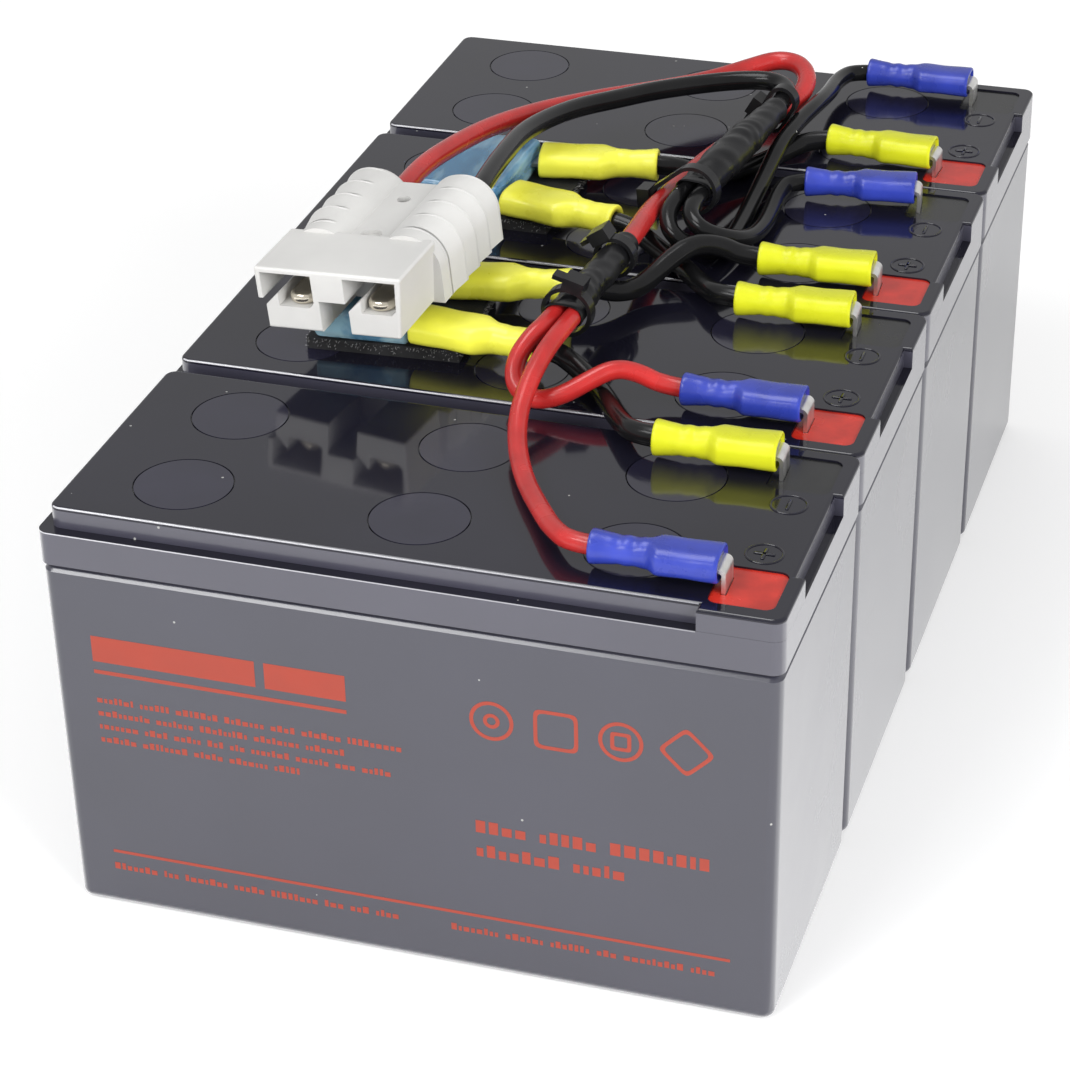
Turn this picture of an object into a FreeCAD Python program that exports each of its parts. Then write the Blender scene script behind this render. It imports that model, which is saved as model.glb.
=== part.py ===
import FreeCAD, Part
import math
import os

# Four sealed lead-acid batteries in a row, joined by a fused wiring harness with a two-pole connector.
# X runs along a battery, Y from the front battery to the rear one, Z up, all in millimetres.
# The origin is the middle of the row, on the surface that the cases stand on.

# Battery case
battery_count = 4
battery_length = 151.0
battery_width = 65.0
battery_gap = 0.1
case_height = 81.5
case_draft = 0.55
lid_overhang = 0.3
corner_radius = 2.5
foot_radius = 1.8
case_wall = 2.4
case_floor = 2.6
cells_long = 3
cells_wide = 2
cell_partition = 1.6
joint_chamfer = 0.5
case_shoulder = 1.3

# Plate packs in the cells
plate_clearance = 0.3
plate_headroom = 9.0
strap_width = 12.0
strap_height = 4.0

# Lid
skirt_height = 7.8
plateau_height = 4.7
ledge_left = 2.0
ledge_side = 2.4
ledge_right = 1.9
corner_block_length = 16.8
corner_block_width = 16.5
lid_edge_radius = 0.7
lid_roof = 2.6
tongue_depth = 3.0
tongue_wall = 1.4
tongue_clearance = 0.15

# Vents in the lid
vent_columns = (-51.0, -1.5, 42.0)
vent_row_offset = 14.8
vent_cover_diameter = 19.8
vent_cover_thickness = 1.2
vent_cover_gap = 0.3
valve_diameter = 8.0
valve_clearance = 0.1
valve_length = 4.6

# Battery tabs and the resin around them
tab_from_end = 13.9
tab_inset = 10.25
tab_width = 6.35
tab_thickness = 0.8
tab_reach = 8.6
tab_rise = 4.8
tab_bend_radius = 0.6
tab_root = 2.0
pocket_length = 13.0
pocket_width = 14.0
pocket_depth = 4.0
pocket_corner = 2.0
pocket_from_end = 15.9
seal_sink = 0.4
seal_clearance = 0.05

# Tape between neighbouring cases
tape_length = 110.0
tape_low = 40.0
tape_high = 70.0
tape_clearance = 0.05

# Wires
lead_diameter = 4.6
jumper_diameter = 4.6
branch_diameter = 4.0
wire_clearance = 0.15
bend_share = 0.45
lead_straight = 5.0

# Push-on terminals
sleeve_length = 25.4
fuse_sleeve_length = 27.6
sleeve_wall = 0.75
barrel_wall = 0.9
sleeve_gap = 0.6
fuse_sleeve_gap = 1.3
housing_share = 0.48
fuse_housing_share = 0.52
neck_length = 2.2
fuse_neck_length = 4.5
mouth_flare = 0.8
mouth_length = 4.0
housing_corner_share = 0.46
round_corner_share = 0.495
sleeve_headroom = 1.2
receptacle_metal = 0.5
receptacle_clearance = 0.2
fuse_receptacle_clearance = 0.9
receptacle_inset = 0.6
receptacle_length = 8.8
tab_clearance = 0.15
wire_grip = 5.0
wire_straight = 3.8

# Fuses: body on a fastening pad, blades towards +X
fuse_width = 30.5
fuse_depth = 21.0
fuse_thickness = 7.2
fuse_wall = 1.3
fuse_edge_radius = 1.4
blade_width = 6.8
blade_thickness = 0.8
blade_length = 9.2
blade_pitch = 21.5
blade_slot_clearance = 0.2
blade_leg = 12.0
blade_leg_width = 5.6
link_width = 2.4
pad_thickness = 2.7
pad_length = 33.6
pad_width = 30.2
pad_shift = 4.8
fuse_places = {"front": (-37.6, -34.8, 3.5, (-10.5, 5.5)), "rear": (-37.8, 32.5, -1.0, (-12.0, 10.0))}

# Two-pole connector, in its own frame: mating face at y = 0, wires leave towards +Y
connector_sides = (-16.0, 17.6)
connector_lean = 1.6
connector_height = 14.0
connector_block = 18.5
connector_edge_radius = 0.6
connector_length = 48.0
connector_lift = 1.1
connector_place = (-38.0, -63.0)
connector_turn = (-4.4, 2.6, -4.2)
pole_places = {-1: -6.8, 1: 11.2}
pole_height = 7.0
arch_places = {-1: -8.8, 1: 11.2}
arch_half_width = 7.4
arch_top = 15.0
arch_edge_radius = 1.2
rib_count = 4
rib_pitch = 6.4
rib_reach = 1.1
rib_rise = 0.3
rib_inset = 0.1
web_bottom = 2.0
web_top = 12.4
web_setback = 1.5
web_hole = 3.0
web_hole_setback = 8.0
web_dish = 4.8
web_dish_depth = 0.9
web_dish_gap = 0.3
socket_wall = 1.3
socket_spans = {-1: (-14.7, -3.0), 1: (4.3, 16.3)}
socket_leans = {-1: 0.0, 1: 0.5}
socket_roof = 1.1
socket_floor = 5.4
socket_depth = 16.5
socket_corner = 1.1
cradle_gap = 0.6
cradle_wall = 3.0
cradle_side_wall = 1.2
cradle_height = 8.3
cradle_chamfer = 2.8
notch_height = 7.2
step_height = 6.9
contact_width = 6.2
contact_thickness = 2.4
contact_nose_radius = 3.0
contact_rim_radius = 1.2
contact_setback = 0.9
contact_bottom = 5.5
contact_bottom_round = 0.8
contact_barrel_diameter = 8.2
contact_barrel_start = 21.0
contact_barrel_end = 38.0
contact_clearance = 0.2
spring_width = 4.6
spring_start = 4.5
spring_groove = 1.0
spring_side_gap = 0.1
spring_thickness = 0.5
spring_end_gap = 0.3
spring_play = 0.02

# Splices under shrink sleeves: rear end, front end (x, y, height above the lid), outer radii along it
splice_barrel_radius = 2.9
splice_inset = 4.0
splice_clearance = 0.1
rear_splice = ((23.0, 74.0, 12.0), (16.0, 24.0, 11.5))
rear_splice_radii = (3.0, 3.6, 4.2, 4.5, 4.4, 4.6)
mid_splice = ((9.0, -5.0, 11.0), (6.9, -45.5, 12.4))
mid_splice_radii = (3.0, 3.5, 3.6, 3.6, 4.1, 4.6)

# Cable ties
tie_width = 2.8
tie_thickness = 0.9
tie_head = 4.6
tie_head_height = 3.4
tie_tail = 2.6
tie_tail_thickness = 1.0
# Each tie: place along Y, the two rounds that its strap goes about (x, height above the lid, inner radius),
# the turn of its plane and where its head sits round the strap
ties = [
    (79.6, (20.9, 7.4, 2.8), (23.4, 12.0, 2.8), -8.0, -60.0),
    (26.0, (9.1, 8.3, 2.8), (16.3, 11.5, 4.9), -8.0, -95.0),
    (-12.0, (8.6, 11.2, 3.8), (8.6, 11.2, 3.8), -3.0, -35.0),
    (-42.0, (7.1, 12.3, 4.7), (7.1, 12.3, 4.7), -3.0, 15.0),
]

# Wire routes, each point chosen by hand: x, y and the height above the lid.
# Every route starts and ends at a crimp with a straight stretch, both worked out from the terminal.
red_lead_route = [
    (-41.4, 5.0, 19.4), (-39.4, 19.5, 18.2), (-36.8, 34.5, 16.4), (-32.4, 49.0, 14.3),
    (-26.2, 62.3, 12.2), (-18.0, 74.5, 10.4), (-8.4, 84.8, 9.2), (1.0, 94.0, 8.8),
    (8.5, 102.5, 9.4), (14.5, 108.0, 10.2), (20.5, 107.0, 10.4), (24.5, 101.0, 9.6),
    (25.0, 93.0, 8.2), (22.8, 85.0, 7.2), (19.3, 75.0, 7.5), (15.6, 63.0, 7.5),
    (12.8, 51.0, 7.9), (10.6, 39.0, 8.0), (9.2, 27.0, 8.2), (8.2, 16.0, 9.2),
]
black_lead_route = [
    (-24.9, 4.0, 20.5), (-26.0, 18.0, 19.2), (-27.0, 32.5, 17.4), (-25.4, 46.5, 15.4),
    (-21.6, 59.0, 13.6), (-15.2, 69.2, 12.2), (-8.4, 78.4, 11.4), (0.4, 85.2, 11.2),
    (9.2, 89.3, 11.6), (17.6, 90.4, 12.1), (23.0, 86.6, 12.1),
]
red_branch_1_route = [
    (7.9, -55.6, 11.9), (7.2, -62.0, 10.6), (6.8, -69.5, 8.3), (7.4, -78.0, 5.4), (10.4, -87.4, 3.1),
    (15.4, -97.6, 2.4), (21.6, -107.4, 2.7), (26.4, -115.0, 3.6),
]
red_branch_2_route = [
    (2.6, -54.6, 11.2), (0.8, -58.8, 8.0), (1.6, -62.6, 4.4), (6.0, -64.8, 2.4), (12.0, -64.2, 3.8),
    (17.4, -60.4, 6.6), (21.4, -56.8, 8.0), (26.0, -55.2, 7.0),
]
black_branch_3_route = [
    (18.2, 13.4, 10.4), (22.2, 10.4, 8.6), (27.2, 13.2, 6.2), (30.4, 19.6, 3.6), (31.4, 28.0, 2.6),
    (31.2, 36.5, 2.7), (30.8, 44.6, 3.5),
]
black_branch_4_route = [
    (12.9, 13.4, 9.8), (15.4, 8.8, 7.5), (20.6, 9.2, 4.8), (24.6, 13.0, 2.6), (26.0, 20.5, 2.2),
    (26.0, 30.0, 2.3), (25.8, 41.0, 3.0), (26.0, 53.0, 4.8), (26.4, 65.0, 7.4), (27.8, 77.6, 7.9),
    (29.4, 88.6, 7.7), (30.0, 100.4, 6.2), (29.4, 111.4, 4.9),
]
jumper_1_route = [(10.4, -49.6, 4.0), (16.0, -53.6, 2.4), (21.2, -60.6, 2.4), (26.0, -68.6, 2.8)]
jumper_2_route = [
    (9.6, -16.6, 4.7), (13.0, -12.2, 3.8), (15.2, -7.2, 4.6), (17.9, -1.4, 6.6), (21.8, 4.2, 8.4),
    (27.0, 8.0, 6.9),
]
jumper_3_route = [(8.8, 12.2, 3.9), (14.8, 8.0, 2.6), (20.8, 2.2, 2.6), (26.0, -4.6, 2.9)]
jumper_4_route = [(10.0, 50.8, 3.4), (15.8, 55.4, 2.4), (21.2, 62.0, 2.4), (25.8, 69.6, 2.8)]

# Values that follow from the sizes above
battery_pitch = battery_width + battery_gap
skirt_top = case_height + skirt_height
lid_top = skirt_top + plateau_height
inner_margin = lid_overhang + case_wall
roof_height = skirt_top - lid_roof
vent_seat_diameter = vent_cover_diameter + 2 * vent_cover_gap
tab_top = lid_top + tab_rise
tab_axis = tab_top - tab_thickness / 2
pocket_floor = lid_top - pocket_depth
fuse_bottom = lid_top + pad_thickness
blade_axis = fuse_bottom + fuse_thickness / 2
connector_bottom = fuse_bottom + fuse_thickness + connector_lift
half_length = battery_length / 2
half_width = battery_width / 2
tab_x = half_length - tab_from_end
pocket_left = half_length - pocket_from_end
tab_offset = half_width - tab_inset
vector = FreeCAD.Vector
up = vector(0, 0, 1)


def box(x0, x1, y0, y1, z0, z1):
    return Part.makeBox(x1 - x0, y1 - y0, z1 - z0, vector(x0, y0, z0))


def rounded_outline(length, width, radius, z):
    # A rectangle in the XY plane, centred on the origin, with arcs at its corners
    x, y, r = length / 2, width / 2, radius
    k = r * (1 - math.sqrt(0.5))
    corners = [
        ((x - r, -y), (x - k, -y + k), (x, -y + r)), ((x, y - r), (x - k, y - k), (x - r, y)),
        ((-x + r, y), (-x + k, y - k), (-x, y - r)), ((-x, -y + r), (-x + k, -y + k), (-x + r, -y)),
    ]
    corners = [[vector(px, py, z) for px, py in corner] for corner in corners]
    edges = []
    for corner, following in zip(corners, corners[1:] + corners[:1]):
        edges.append(Part.Arc(*corner).toShape())
        edges.append(Part.LineSegment(corner[2], following[0]).toShape())
    return Part.Wire(edges)


def rounded_block(length, width, radius, z0, z1):
    return Part.Face(rounded_outline(length, width, radius, z0)).extrude(vector(0, 0, z1 - z0))


def placed(shape, x, y, z, turn=0.0):
    copy = shape.copy()
    copy.Placement = FreeCAD.Placement(vector(x, y, z), FreeCAD.Rotation(up, turn)).multiply(copy.Placement)
    return copy


def edges_at_height(shape, z):
    return [e for e in shape.Edges if abs(e.BoundBox.ZMin - z) < 0.01 and abs(e.BoundBox.ZMax - z) < 0.01]


# Battery, centred on the origin in X and Y and standing on Z = 0

def cell_places():
    # Middle of each cell, with the size that the partitions leave it
    length = (battery_length - 2 * inner_margin - (cells_long - 1) * cell_partition) / cells_long
    width = (battery_width - 2 * inner_margin - (cells_wide - 1) * cell_partition) / cells_wide
    for i in range(cells_long):
        for j in range(cells_wide):
            x = (i - (cells_long - 1) / 2) * (length + cell_partition)
            y = (j - (cells_wide - 1) / 2) * (width + cell_partition)
            yield x, y, length, width


def make_case():
    foot = 2 * (lid_overhang + case_draft)
    rim = 2 * lid_overhang
    edge = rim + 2 * case_shoulder
    shell = Part.makeLoft([
        rounded_outline(battery_length - foot, battery_width - foot, corner_radius, 0),
        rounded_outline(battery_length - rim, battery_width - rim, corner_radius,
                        case_height - case_shoulder),
        rounded_outline(battery_length - edge, battery_width - edge, corner_radius - case_shoulder,
                        case_height),
    ], True, True)
    shell = shell.makeFillet(foot_radius, edges_at_height(shell, 0))
    tongue_room = case_height - tongue_depth - tongue_clearance
    cuts = [rounded_block(
        battery_length - 2 * inner_margin, battery_width - 2 * inner_margin, corner_radius,
        tongue_room, case_height + 1)]
    for x, y, length, width in cell_places():
        half_x, half_y = length / 2, width / 2
        cuts.append(box(x - half_x, x + half_x, y - half_y, y + half_y, case_floor, case_height))
    return shell.cut(cuts)


def make_plates():
    packs = []
    top = case_height - plate_headroom
    for x, y, length, width in cell_places():
        half_x = length / 2 - plate_clearance
        half_y = width / 2 - plate_clearance
        pack = box(x - half_x, x + half_x, y - half_y, y + half_y, case_floor, top)
        strap = box(x - half_x, x + half_x, y - strap_width / 2, y + strap_width / 2, top, top + strap_height)
        packs.append(pack.fuse(strap).removeSplitter())
    return Part.makeCompound(packs)


def plateau_outline():
    # The raised top stands back from the rim, apart from two full corner blocks at the tab end
    left = -half_length + ledge_left
    side = half_width - ledge_side
    block_x = half_length - corner_block_length
    block_y = half_width - corner_block_width
    notch_x = half_length - ledge_right
    half = [(block_x, side), (block_x, half_width), (half_length, half_width), (half_length, block_y),
            (notch_x, block_y)]
    points = [(left, side)] + half + [(x, -y) for x, y in reversed(half)] + [(left, -side)]
    return Part.makePolygon([vector(x, y, skirt_top) for x, y in points + points[:1]])


def vent_places():
    return [(x, side * vent_row_offset) for x in vent_columns for side in (-1, 1)]


def tab_slot(clearance, low, high):
    # The room that a tab's upright leg needs, about the leg's own corner
    half = tab_width / 2 + clearance
    return box(-clearance, tab_thickness + clearance, -half, half, low, high)


def make_lid(tab_turns):
    block = rounded_block(battery_length, battery_width, corner_radius, case_height, lid_top)
    plateau = Part.Face(plateau_outline()).extrude(vector(0, 0, plateau_height))
    left_edges = [e for e in plateau.Edges if e.BoundBox.XMax < -half_length + ledge_left + 0.01
                  and e.BoundBox.ZLength > plateau_height / 2]
    plateau = plateau.makeFillet(corner_radius, left_edges)
    skirt = rounded_block(battery_length, battery_width, corner_radius, case_height, skirt_top)
    lid = skirt.fuse(plateau.common(block)).removeSplitter()
    lid = lid.makeChamfer(joint_chamfer, edges_at_height(lid, case_height))
    lid = lid.makeFillet(lid_edge_radius, edges_at_height(lid, lid_top))
    margin = 2 * (inner_margin + tongue_clearance)
    tongue = rounded_block(battery_length - margin, battery_width - margin, corner_radius,
                           case_height - tongue_depth, roof_height)
    margin += 2 * tongue_wall
    hollow = rounded_block(battery_length - margin, battery_width - margin, corner_radius - tongue_wall / 2,
                           case_height - tongue_depth, roof_height)
    cuts = [hollow]
    pocket = rounded_block(pocket_length, pocket_width, pocket_corner, pocket_floor, lid_top + 1)
    for side, turn in tab_turns.items():
        cuts.append(placed(pocket, pocket_left + pocket_length / 2, side * tab_offset, 0))
        slot = tab_slot(tab_clearance, roof_height - 1, lid_top)
        cuts.append(placed(slot, tab_x, side * tab_offset, 0, turn))
    seat = Part.makeCylinder(vent_seat_diameter / 2, vent_cover_thickness + 1,
                             vector(0, 0, lid_top - vent_cover_thickness))
    well = Part.makeCylinder(valve_diameter / 2 + valve_clearance, lid_top - roof_height,
                             vector(0, 0, roof_height))
    for x, y in vent_places():
        cuts.append(placed(seat, x, y, 0))
        cuts.append(placed(well, x, y, 0))
    return lid.fuse(tongue).cut(cuts).removeSplitter()


def make_vent_covers():
    cover = Part.makeCylinder(vent_cover_diameter / 2, vent_cover_thickness,
                              vector(0, 0, lid_top - vent_cover_thickness))
    return [placed(cover, x, y, 0) for x, y in vent_places()]


def make_valves():
    top = lid_top - vent_cover_thickness
    plug = Part.makeCylinder(valve_diameter / 2, valve_length, vector(0, 0, top - valve_length))
    return [placed(plug, x, y, 0) for x, y in vent_places()]


def make_tab():
    # An upright leg that bends over towards -X, about the leg's lower corner
    t, r = tab_thickness, tab_bend_radius
    low = roof_height - tab_root
    k = math.sqrt(0.5)
    centre = (-r, tab_top - t - r)
    outer, inner = r + t, r
    arc_out = [(t, centre[1]), (centre[0] + outer * k, centre[1] + outer * k), (centre[0], tab_top)]
    arc_in = [(centre[0], tab_top - t), (centre[0] + inner * k, centre[1] + inner * k), (0, centre[1])]
    point = lambda p: vector(p[0], -tab_width / 2, p[1])
    line = lambda a, b: Part.LineSegment(point(a), point(b)).toShape()
    end_top, end_low = (-tab_reach, tab_top), (-tab_reach, tab_top - t)
    outline = Part.Wire([
        line((0, low), (t, low)), line((t, low), arc_out[0]), Part.Arc(*map(point, arc_out)).toShape(),
        line(arc_out[2], end_top), line(end_top, end_low), line(end_low, arc_in[0]),
        Part.Arc(*map(point, arc_in)).toShape(), line(arc_in[2], (0, low)),
    ])
    return Part.Face(outline).extrude(vector(0, tab_width, 0))


def make_seal(side, turn):
    # Resin that fills the pocket around the leg, a little below the lid's top
    seal = rounded_block(pocket_length - 2 * seal_clearance, pocket_width - 2 * seal_clearance, pocket_corner,
                         pocket_floor, lid_top - seal_sink)
    seal = placed(seal, pocket_left + pocket_length / 2, side * tab_offset, 0)
    slot = tab_slot(tab_clearance, pocket_floor - 1, lid_top)
    return seal.cut(placed(slot, tab_x, side * tab_offset, 0, turn))


def case_face(z):
    # How far a case's side stands back from the lid's edge at a height
    return lid_overhang + case_draft * (1 - z / case_height)


def make_tape():
    # Foam tape that fills the wedge between two drafted cases
    half_low = battery_gap / 2 + case_face(tape_low) - tape_clearance
    half_high = battery_gap / 2 + case_face(tape_high) - tape_clearance
    corners = [(-half_low, tape_low), (half_low, tape_low), (half_high, tape_high), (-half_high, tape_high)]
    corners = [vector(-tape_length / 2, y, z) for y, z in corners]
    return Part.Face(Part.makePolygon(corners + corners[:1])).extrude(vector(tape_length, 0, 0))


# Push-on terminals, along +X from the mating end at x = 0 to the wire end

def section(x, width, height, corner):
    # A rounded rectangle across X, close to a circle where its corner is nearly half its width
    wire = rounded_outline(width, height, corner, 0)
    turn = FreeCAD.Rotation(vector(0, 1, 0), up, vector(1, 0, 0), "ZXY")
    wire.Placement = FreeCAD.Placement(vector(x, 0, 0), turn)
    return wire


def round_section(x, diameter):
    return section(x, diameter, diameter, diameter * round_corner_share)


def stretch(wire, start, end):
    # A section carried straight along X
    return Part.Face(wire).extrude(vector(end - start, 0, 0))


def taper(first, second):
    return Part.makeLoft([first, second], True, True)


class Terminal:
    # Sizes of one push-on terminal for a given wire and blade
    def __init__(self, wire, blade, thickness, clearance, length, share, neck):
        self.wire = wire
        self.length = length
        self.housing = length * share
        self.neck = neck
        self.slot = blade + 2 * tab_clearance
        self.slot_height = thickness + 2 * tab_clearance
        self.metal_width = self.slot + 2 * receptacle_metal
        self.metal_height = self.slot_height + 2 * receptacle_metal
        self.width = self.metal_width + 2 * (clearance + sleeve_wall)
        self.bore = wire + 2 * wire_clearance
        self.barrel = self.bore + 2 * barrel_wall
        self.height = max(self.metal_height + 2 * sleeve_wall + 2 * sleeve_headroom, self.barrel)

    def sleeve(self):
        # Oval over the blade, a neck, round over the crimp, and a mouth that opens towards the wire
        corner = self.height * housing_corner_share
        barrel_start = self.housing + self.neck
        barrel_end = self.length - mouth_length
        front = section(0, self.width, self.height, corner)
        shoulder = section(self.housing, self.width, self.height, corner)
        waist = round_section(barrel_start, self.barrel)
        lip = round_section(barrel_end, self.barrel)
        outer = stretch(front, 0, self.housing).fuse([
            taper(shoulder, waist), stretch(waist, barrel_start, barrel_end),
            taper(lip, round_section(self.length, self.barrel + mouth_flare)),
        ])
        width, height = self.width - 2 * sleeve_wall, self.height - 2 * sleeve_wall
        corner = height * housing_corner_share
        shoulder = section(self.housing, width, height, corner)
        waist = round_section(barrel_start, self.bore)
        inner = stretch(section(0, width, height, corner), 0, self.housing).fuse([
            taper(shoulder, waist), stretch(waist, barrel_start, self.length)])
        return outer.cut(inner).removeSplitter()

    def receptacle(self):
        start = receptacle_inset
        end = start + receptacle_length
        half, slot = self.metal_width / 2, self.slot / 2
        top, gap = self.metal_height / 2, self.slot_height / 2
        body = box(start, end, -half, half, -top, top)
        body = body.cut(box(start - 1, end - receptacle_metal, -slot, slot, -gap, gap))
        crimp = Part.makeCylinder(self.wire / 2, self.length - wire_grip - end + receptacle_metal,
                                  vector(end - receptacle_metal, 0, 0), vector(1, 0, 0))
        return body.fuse(crimp)


blue_terminal = Terminal(branch_diameter, tab_width, tab_thickness, receptacle_clearance, sleeve_length,
                         housing_share, neck_length)
yellow_terminal = Terminal(jumper_diameter, tab_width, tab_thickness, receptacle_clearance, sleeve_length,
                           housing_share, neck_length)
fuse_terminal = Terminal(jumper_diameter, blade_width, blade_thickness, fuse_receptacle_clearance,
                         fuse_sleeve_length, fuse_housing_share, fuse_neck_length)


class Seat:
    # Where a terminal sits: its mating end, its height and the way it points
    def __init__(self, terminal, x, y, z, turn):
        self.terminal = terminal
        self.place = (x, y, z, turn)
        direction = vector(math.cos(math.radians(turn)), math.sin(math.radians(turn)), 0)
        crimp = vector(x, y, z) + direction * (terminal.length - wire_grip)
        self.wire_end = [crimp, crimp + direction * (wire_grip + wire_straight)]

    def sleeve(self):
        return placed(self.terminal.sleeve(), *self.place)

    def receptacle(self):
        return placed(self.terminal.receptacle(), *self.place)


def tab_seat(terminal, battery, side, turn):
    angle = math.radians(turn)
    x = tab_x - sleeve_gap * math.cos(angle)
    y = battery_y(battery) + side * tab_offset - sleeve_gap * math.sin(angle)
    return Seat(terminal, x, y, tab_axis, 180 + turn)


def battery_y(battery):
    return (battery - 1 - (battery_count - 1) / 2) * battery_pitch


# Fuses, about the middle of the body, blades towards +X

def make_fuse_body():
    body = box(-fuse_depth / 2, fuse_depth / 2, -fuse_width / 2, fuse_width / 2, 0, fuse_thickness)
    body = body.makeFillet(fuse_edge_radius, body.Edges)
    wall = fuse_wall
    cuts = [box(-fuse_depth / 2 + wall, fuse_depth / 2 - wall, -fuse_width / 2 + wall, fuse_width / 2 - wall,
                wall, fuse_thickness - wall)]
    middle = fuse_thickness / 2
    half_slot = blade_width / 2 + blade_slot_clearance
    half_gap = blade_thickness / 2 + blade_slot_clearance
    for side in (-1, 1):
        y = side * blade_pitch / 2
        cuts.append(box(fuse_depth / 2 - wall - 1, fuse_depth / 2 + 1, y - half_slot, y + half_slot,
                        middle - half_gap, middle + half_gap))
    return body.cut(cuts)


def make_fuse_element(splay):
    # Two blades that swing a little about their roots, legs into the body and a thin link across
    middle = fuse_thickness / 2
    low, high = middle - blade_thickness / 2, middle + blade_thickness / 2
    face = fuse_depth / 2
    half = blade_width / 2
    end = face - blade_leg
    half_leg = blade_leg_width / 2
    link_reach = blade_pitch / 2 - half_leg + link_width
    element = box(end, end + link_width, -link_reach, link_reach, low, high)
    for side, turn in zip((-1, 1), splay):
        y = side * blade_pitch / 2
        leg = box(end, face, y - half_leg, y + half_leg, low, high)
        blade = placed(box(-fuse_wall / 2, blade_length, -half, half, low, high), face, y, 0, turn)
        element = element.fuse([leg, blade])
    return element.removeSplitter()


def fuse_seat(fuse, side):
    x, y, turn, splay = fuse_places[fuse]
    angle = math.radians(turn)
    along, across = fuse_depth / 2, side * blade_pitch / 2
    root_x = x + along * math.cos(angle) - across * math.sin(angle)
    root_y = y + along * math.sin(angle) + across * math.cos(angle)
    sleeve_turn = turn + splay[0 if side < 0 else 1]
    angle = math.radians(sleeve_turn)
    root_x += fuse_sleeve_gap * math.cos(angle)
    root_y += fuse_sleeve_gap * math.sin(angle)
    return Seat(fuse_terminal, root_x, root_y, blade_axis, sleeve_turn)


def make_pad():
    # A strip of hook tape that reaches from under the body to under the terminals
    x, y = pad_length / 2, pad_width / 2
    return box(pad_shift - x, pad_shift + x, -y, y, 0, pad_thickness)


# Connector, in its own frame

def connector_placement():
    yaw, pitch, roll = connector_turn
    turn = FreeCAD.Rotation(up, yaw).multiply(FreeCAD.Rotation(vector(1, 0, 0), pitch))
    turn = turn.multiply(FreeCAD.Rotation(vector(0, 1, 0), roll))
    return FreeCAD.Placement(vector(connector_place[0], connector_place[1], connector_bottom), turn)


def on_connector(shape):
    copy = shape.copy()
    copy.Placement = connector_placement().multiply(copy.Placement)
    return copy


def socket_outline(side):
    # A wide opening under the roof that narrows to the cradle of the contact, behind a chamfered wall
    low, high = socket_spans[side]
    lower_high = high - socket_leans[side]
    outer = low + cradle_gap
    inner = outer + cradle_wall
    top = connector_height - socket_roof
    shoulder = cradle_height - cradle_chamfer
    points = [
        (low, top), (high, top), (lower_high, socket_floor + socket_corner),
        (lower_high - socket_corner, socket_floor),
        (inner, socket_floor), (inner, cradle_height), (outer, shoulder), (low, shoulder),
    ]
    return Part.makePolygon([vector(x, -1, z) for x, z in points + points[:1]])


def arch_outline(x, y, inset):
    # Straight sides with a half round on top
    radius = arch_half_width - inset
    shoulder = arch_top - arch_half_width
    left, right = x - radius, x + radius
    feet = vector(left, y, inset), vector(right, y, inset)
    shoulders = vector(left, y, shoulder), vector(right, y, shoulder)
    return Part.Wire([
        Part.LineSegment(feet[0], shoulders[0]).toShape(),
        Part.Arc(shoulders[0], vector(x, y, shoulder + radius), shoulders[1]).toShape(),
        Part.LineSegment(shoulders[1], feet[1]).toShape(), Part.LineSegment(feet[1], feet[0]).toShape(),
    ])


def make_arch(side, start):
    # The housing of one pole, with grip ribs that lean out of its outer flank towards the rear
    x = arch_places[side]
    arch = Part.Face(arch_outline(x, start, 0)).extrude(vector(0, connector_length - start, 0))
    rear = [e for e in arch.Edges if e.BoundBox.YMin > connector_length - 0.01]
    arch = arch.makeFillet(arch_edge_radius, rear)
    low = connector_length - arch_edge_radius - rib_count * rib_pitch
    ribs = []
    for i in range(rib_count):
        front = arch_outline(x, low + i * rib_pitch, rib_inset)
        back = arch_outline(x + side * rib_reach, low + (i + 1) * rib_pitch, rib_inset)
        back.translate(vector(0, 0, rib_rise))
        ribs.append(Part.makeLoft([front, back], True, True))
    return arch.fuse(ribs)


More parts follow.
